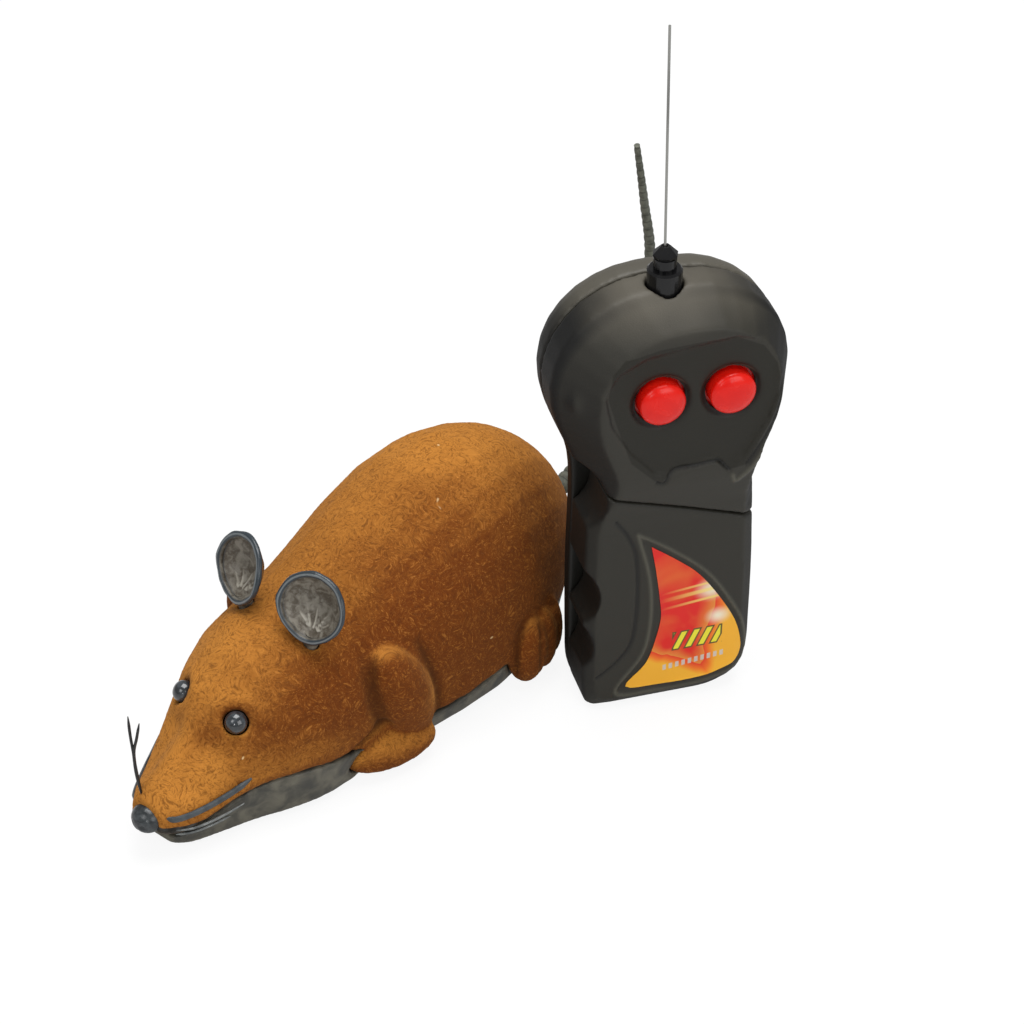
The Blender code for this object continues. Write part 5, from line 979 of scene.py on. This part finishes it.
grip_cover = remoulded("remote_lower_cover", "handset_grip_cover", 0.00045, 8)
grip_cover.data.materials.append(cover_charcoal.material)
label_ridge = [(-7.9, 48.4), (-0.4, 42.8), (7.8, 35.3), (13.1, 27.4), (17.0, 19.6), (18.6, 13.2),
               (18.5, 9.0), (16.6, 5.8), (8.0, 3.4), (-2.8, 3.1), (-12.3, 4.4), (-6.9, 13.0), (-5.1, 18.2),
               (-4.4, 26.6), (-5.1, 36.5), (-7.9, 48.4)]
outer_groove = [(-13.0, 53.0), (-9.7, 47.4), (-8.0, 41.4), (-7.6, 30.1), (-8.6, 18.8), (-12.0, 13.3),
                (-16.6, 9.6)]
face_press(grip_cover, label_ridge, 0.42, -0.40)
face_press(grip_cover, outer_groove, 0.42, 0.45)
face_press(grip_cover, seam_line, 0.50, 0.15)
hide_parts("remote_lower_cover")
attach(grip_cover, "toy_set")

tub = remoulded("remote_back_shell", "handset_tub", 0.0006, 9)
tub.data.materials.append(tub_black.material)
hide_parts("remote_back_shell")
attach(tub, "toy_set")
dress("remote_battery_door", tub_black)


# Label
# A fin-shaped label of thin glossy film, stuck in the sunk ground of the grip cover. It is printed
# in a plain flame-coloured fade with slanted bars and a row of dots.
label_outline = [(-4.6, 44.2), (2.0, 38.8), (6.8, 34.1), (11.7, 26.8), (15.6, 19.3), (17.2, 13.1),
                 (17.2, 9.8), (15.8, 7.4), (12.4, 5.9), (7.9, 4.8), (-1.6, 4.6), (-9.8, 5.6),
                 (-5.2, 11.2), (-3.0, 17.8), (-2.0, 24.0), (-2.5, 30.0), (-3.5, 37.3)]
print_film = Finish("flame_print", Coat_Weight=0.15, Coat_Roughness=0.2, Specular_IOR_Level=0.3)
spot = print_film.place(handset.translation)
run = print_film.along(spot, handset_across)
rise = print_film.along(spot, (0, 0, 1))
haze = print_film.grain(spot, 0.10, 2.0, 0.5)
low_corner = (-run * 0.7 + (12 - rise) * 1.1).ease(-5, 6)
heat = (run - rise * 0.10).ease(3, 15).most(low_corner) + haze * 0.6 - 0.28
flame = print_film.node("ShaderNodeValToRGB", {"stops": (
    (0.0, paint(232, 34, 24)), (1.0, paint(255, 236, 92)), (0.34, paint(240, 56, 30)),
    (0.56, paint(252, 122, 32)), (0.78, paint(255, 186, 50)))}, {"Fac": heat}, "Color")
for glow_x, glow_z, glow_size in ((10.0, 29.5, 5.2), (11.6, 21.5, 3.8)):
    reach = ((run - glow_x) * (run - glow_x) + (rise - glow_z) * (rise - glow_z) * 1.6) ** 0.5
    flame = print_film.blend(reach.ease(glow_size, 0.0) * 0.9, flame, paint(255, 250, 222))
fan = rise - 29.5 - (run - 10) * 0.10
streaks = fan.band(0, 0.25, 0.5).most(fan.band(-2.4, 0.12, 0.4)).most(fan.band(1.9, 0.10, 0.35))
flame = print_film.blend(streaks * run.ease(-3, 8) * 0.7, flame, paint(255, 228, 120))
bar_pitch = 3.0
slant = (run - rise * 0.45) % bar_pitch - bar_pitch / 2
bars = slant.band(0, 0.55, 0.18) * rise.band(16.2, 2.2, 0.12) * run.between(1.2, 12.4, 0.2)
edge = slant.band(0, 0.95, 0.12) * rise.band(16.2, 2.6, 0.12) * run.between(0.8, 12.8, 0.2)
flame = print_film.blend(edge, flame, paint(96, 84, 40))
flame = print_film.blend(bars, flame, paint(246, 236, 60))
dot_pitch = 1.5
dots = (run % dot_pitch - dot_pitch / 2).band(0, 0.36, 0.10) * (rise - run * 0.10).band(9.2, 0.7, 0.1)
dots = dots * run.between(-1.2, 13.6, 0.2)
flame = print_film.blend(dots * 0.9, flame, paint(214, 206, 196))
print_film.feed(Base_Color=flame, Roughness=0.34 + haze * 0.14)
work = bmesh.new()
corners = [work.verts.new((point.x / 1000, 0, point.z / 1000))
           for point in swept([(across, 0, up) for across, up in label_outline + label_outline[:1]], 4)[:-1]]
work.faces.new(corners)
film_cell = 0.0011
for way in (Vector((1, 0, 0)), Vector((0, 0, 1))):
    for step in range(-12, 48):
        bmesh.ops.bisect_plane(work, geom=work.verts[:] + work.edges[:] + work.faces[:],
                               plane_co=way * step * film_cell, plane_no=way, dist=0.0000001)
ground = BVHTree.FromObject(grip_cover, bpy.context.evaluated_depsgraph_get())
film_lift = 0.00010
film_thickness = 0.00004
for vertex in work.verts:
    start = handset @ Vector((vertex.co.x, -0.02, vertex.co.z))
    hit = ground.ray_cast(start, handset_deep)[0]
    vertex.co.y = (handset.inverted() @ hit).y - film_lift
bmesh.ops.solidify(work, geom=work.faces[:], thickness=film_thickness)
bmesh.ops.recalc_face_normals(work, faces=work.faces)
work.transform(handset)
label = kept("printed_label", work, print_film, 40)
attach(label, "toy_set")


# Buttons
# Two domed caps of glossy red ABS, moulded with a flange that keeps them behind the panel. Each
# slides in its hole and is pushed back by the rubber pad.
cap_red = Finish("glossy_red_cap", Coat_Weight=0.15, Coat_Roughness=0.08, Specular_IOR_Level=0.30)
spot = cap_red.place()
swirl = cap_red.grain(spot, 0.25, 3.0, 0.6)
cap_red.feed(Base_Color=cap_red.blend(swirl.ease(0.30, 0.75), paint(232, 18, 6), paint(242, 28, 12)),
             Roughness=0.22 + swirl * 0.10)
cap_radius = 0.0051
crown = 0.0018
skirt = 0.0009
for name in ("button_left", "button_right"):
    spots = local_mm(read(frame["nodes"][name].data, "co"), handset) / 1000
    low_x, near, low_z = spots.min(axis=0)
    high_x, deep, high_z = spots.max(axis=0)
    flange = (high_x - low_x) / 2
    profile = [(cap_radius * math.sin(math.radians(angle)),
                near + crown * (1 - math.cos(math.radians(angle)))) for angle in range(0, 85, 7)]
    profile += [(cap_radius, near + crown + 0.0002), (cap_radius, deep - skirt), (flange, deep - skirt),
                (flange, deep), (0, deep)]
    work = bmesh.new()
    turned(work, [(reach, level, 0) for reach, level in profile], (0, 1, 0), 56)
    work.transform(handset @ Matrix.Translation(((low_x + high_x) / 2, 0, (low_z + high_z) / 2)))
    cap = kept(name.replace("button", "button_cap"), work, cap_red, 35)
    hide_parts(name)
    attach(cap, "left_button" if name == "button_left" else "right_button")


# Antenna
# A black collar with eight flats and a pointed cap, fixed between the two shells at the crown, and
# a thin straight steel wire that is pressed in it.
collar_black = moulded("collar_black", paint(14, 14, 15), paint(24, 24, 25), 0.08)
dress("antenna_socket", collar_black)
dress("antenna_rod", metal("antenna_steel", paint(168, 168, 164), paint(120, 120, 118), 0.28, (1, 1, 0.1)))
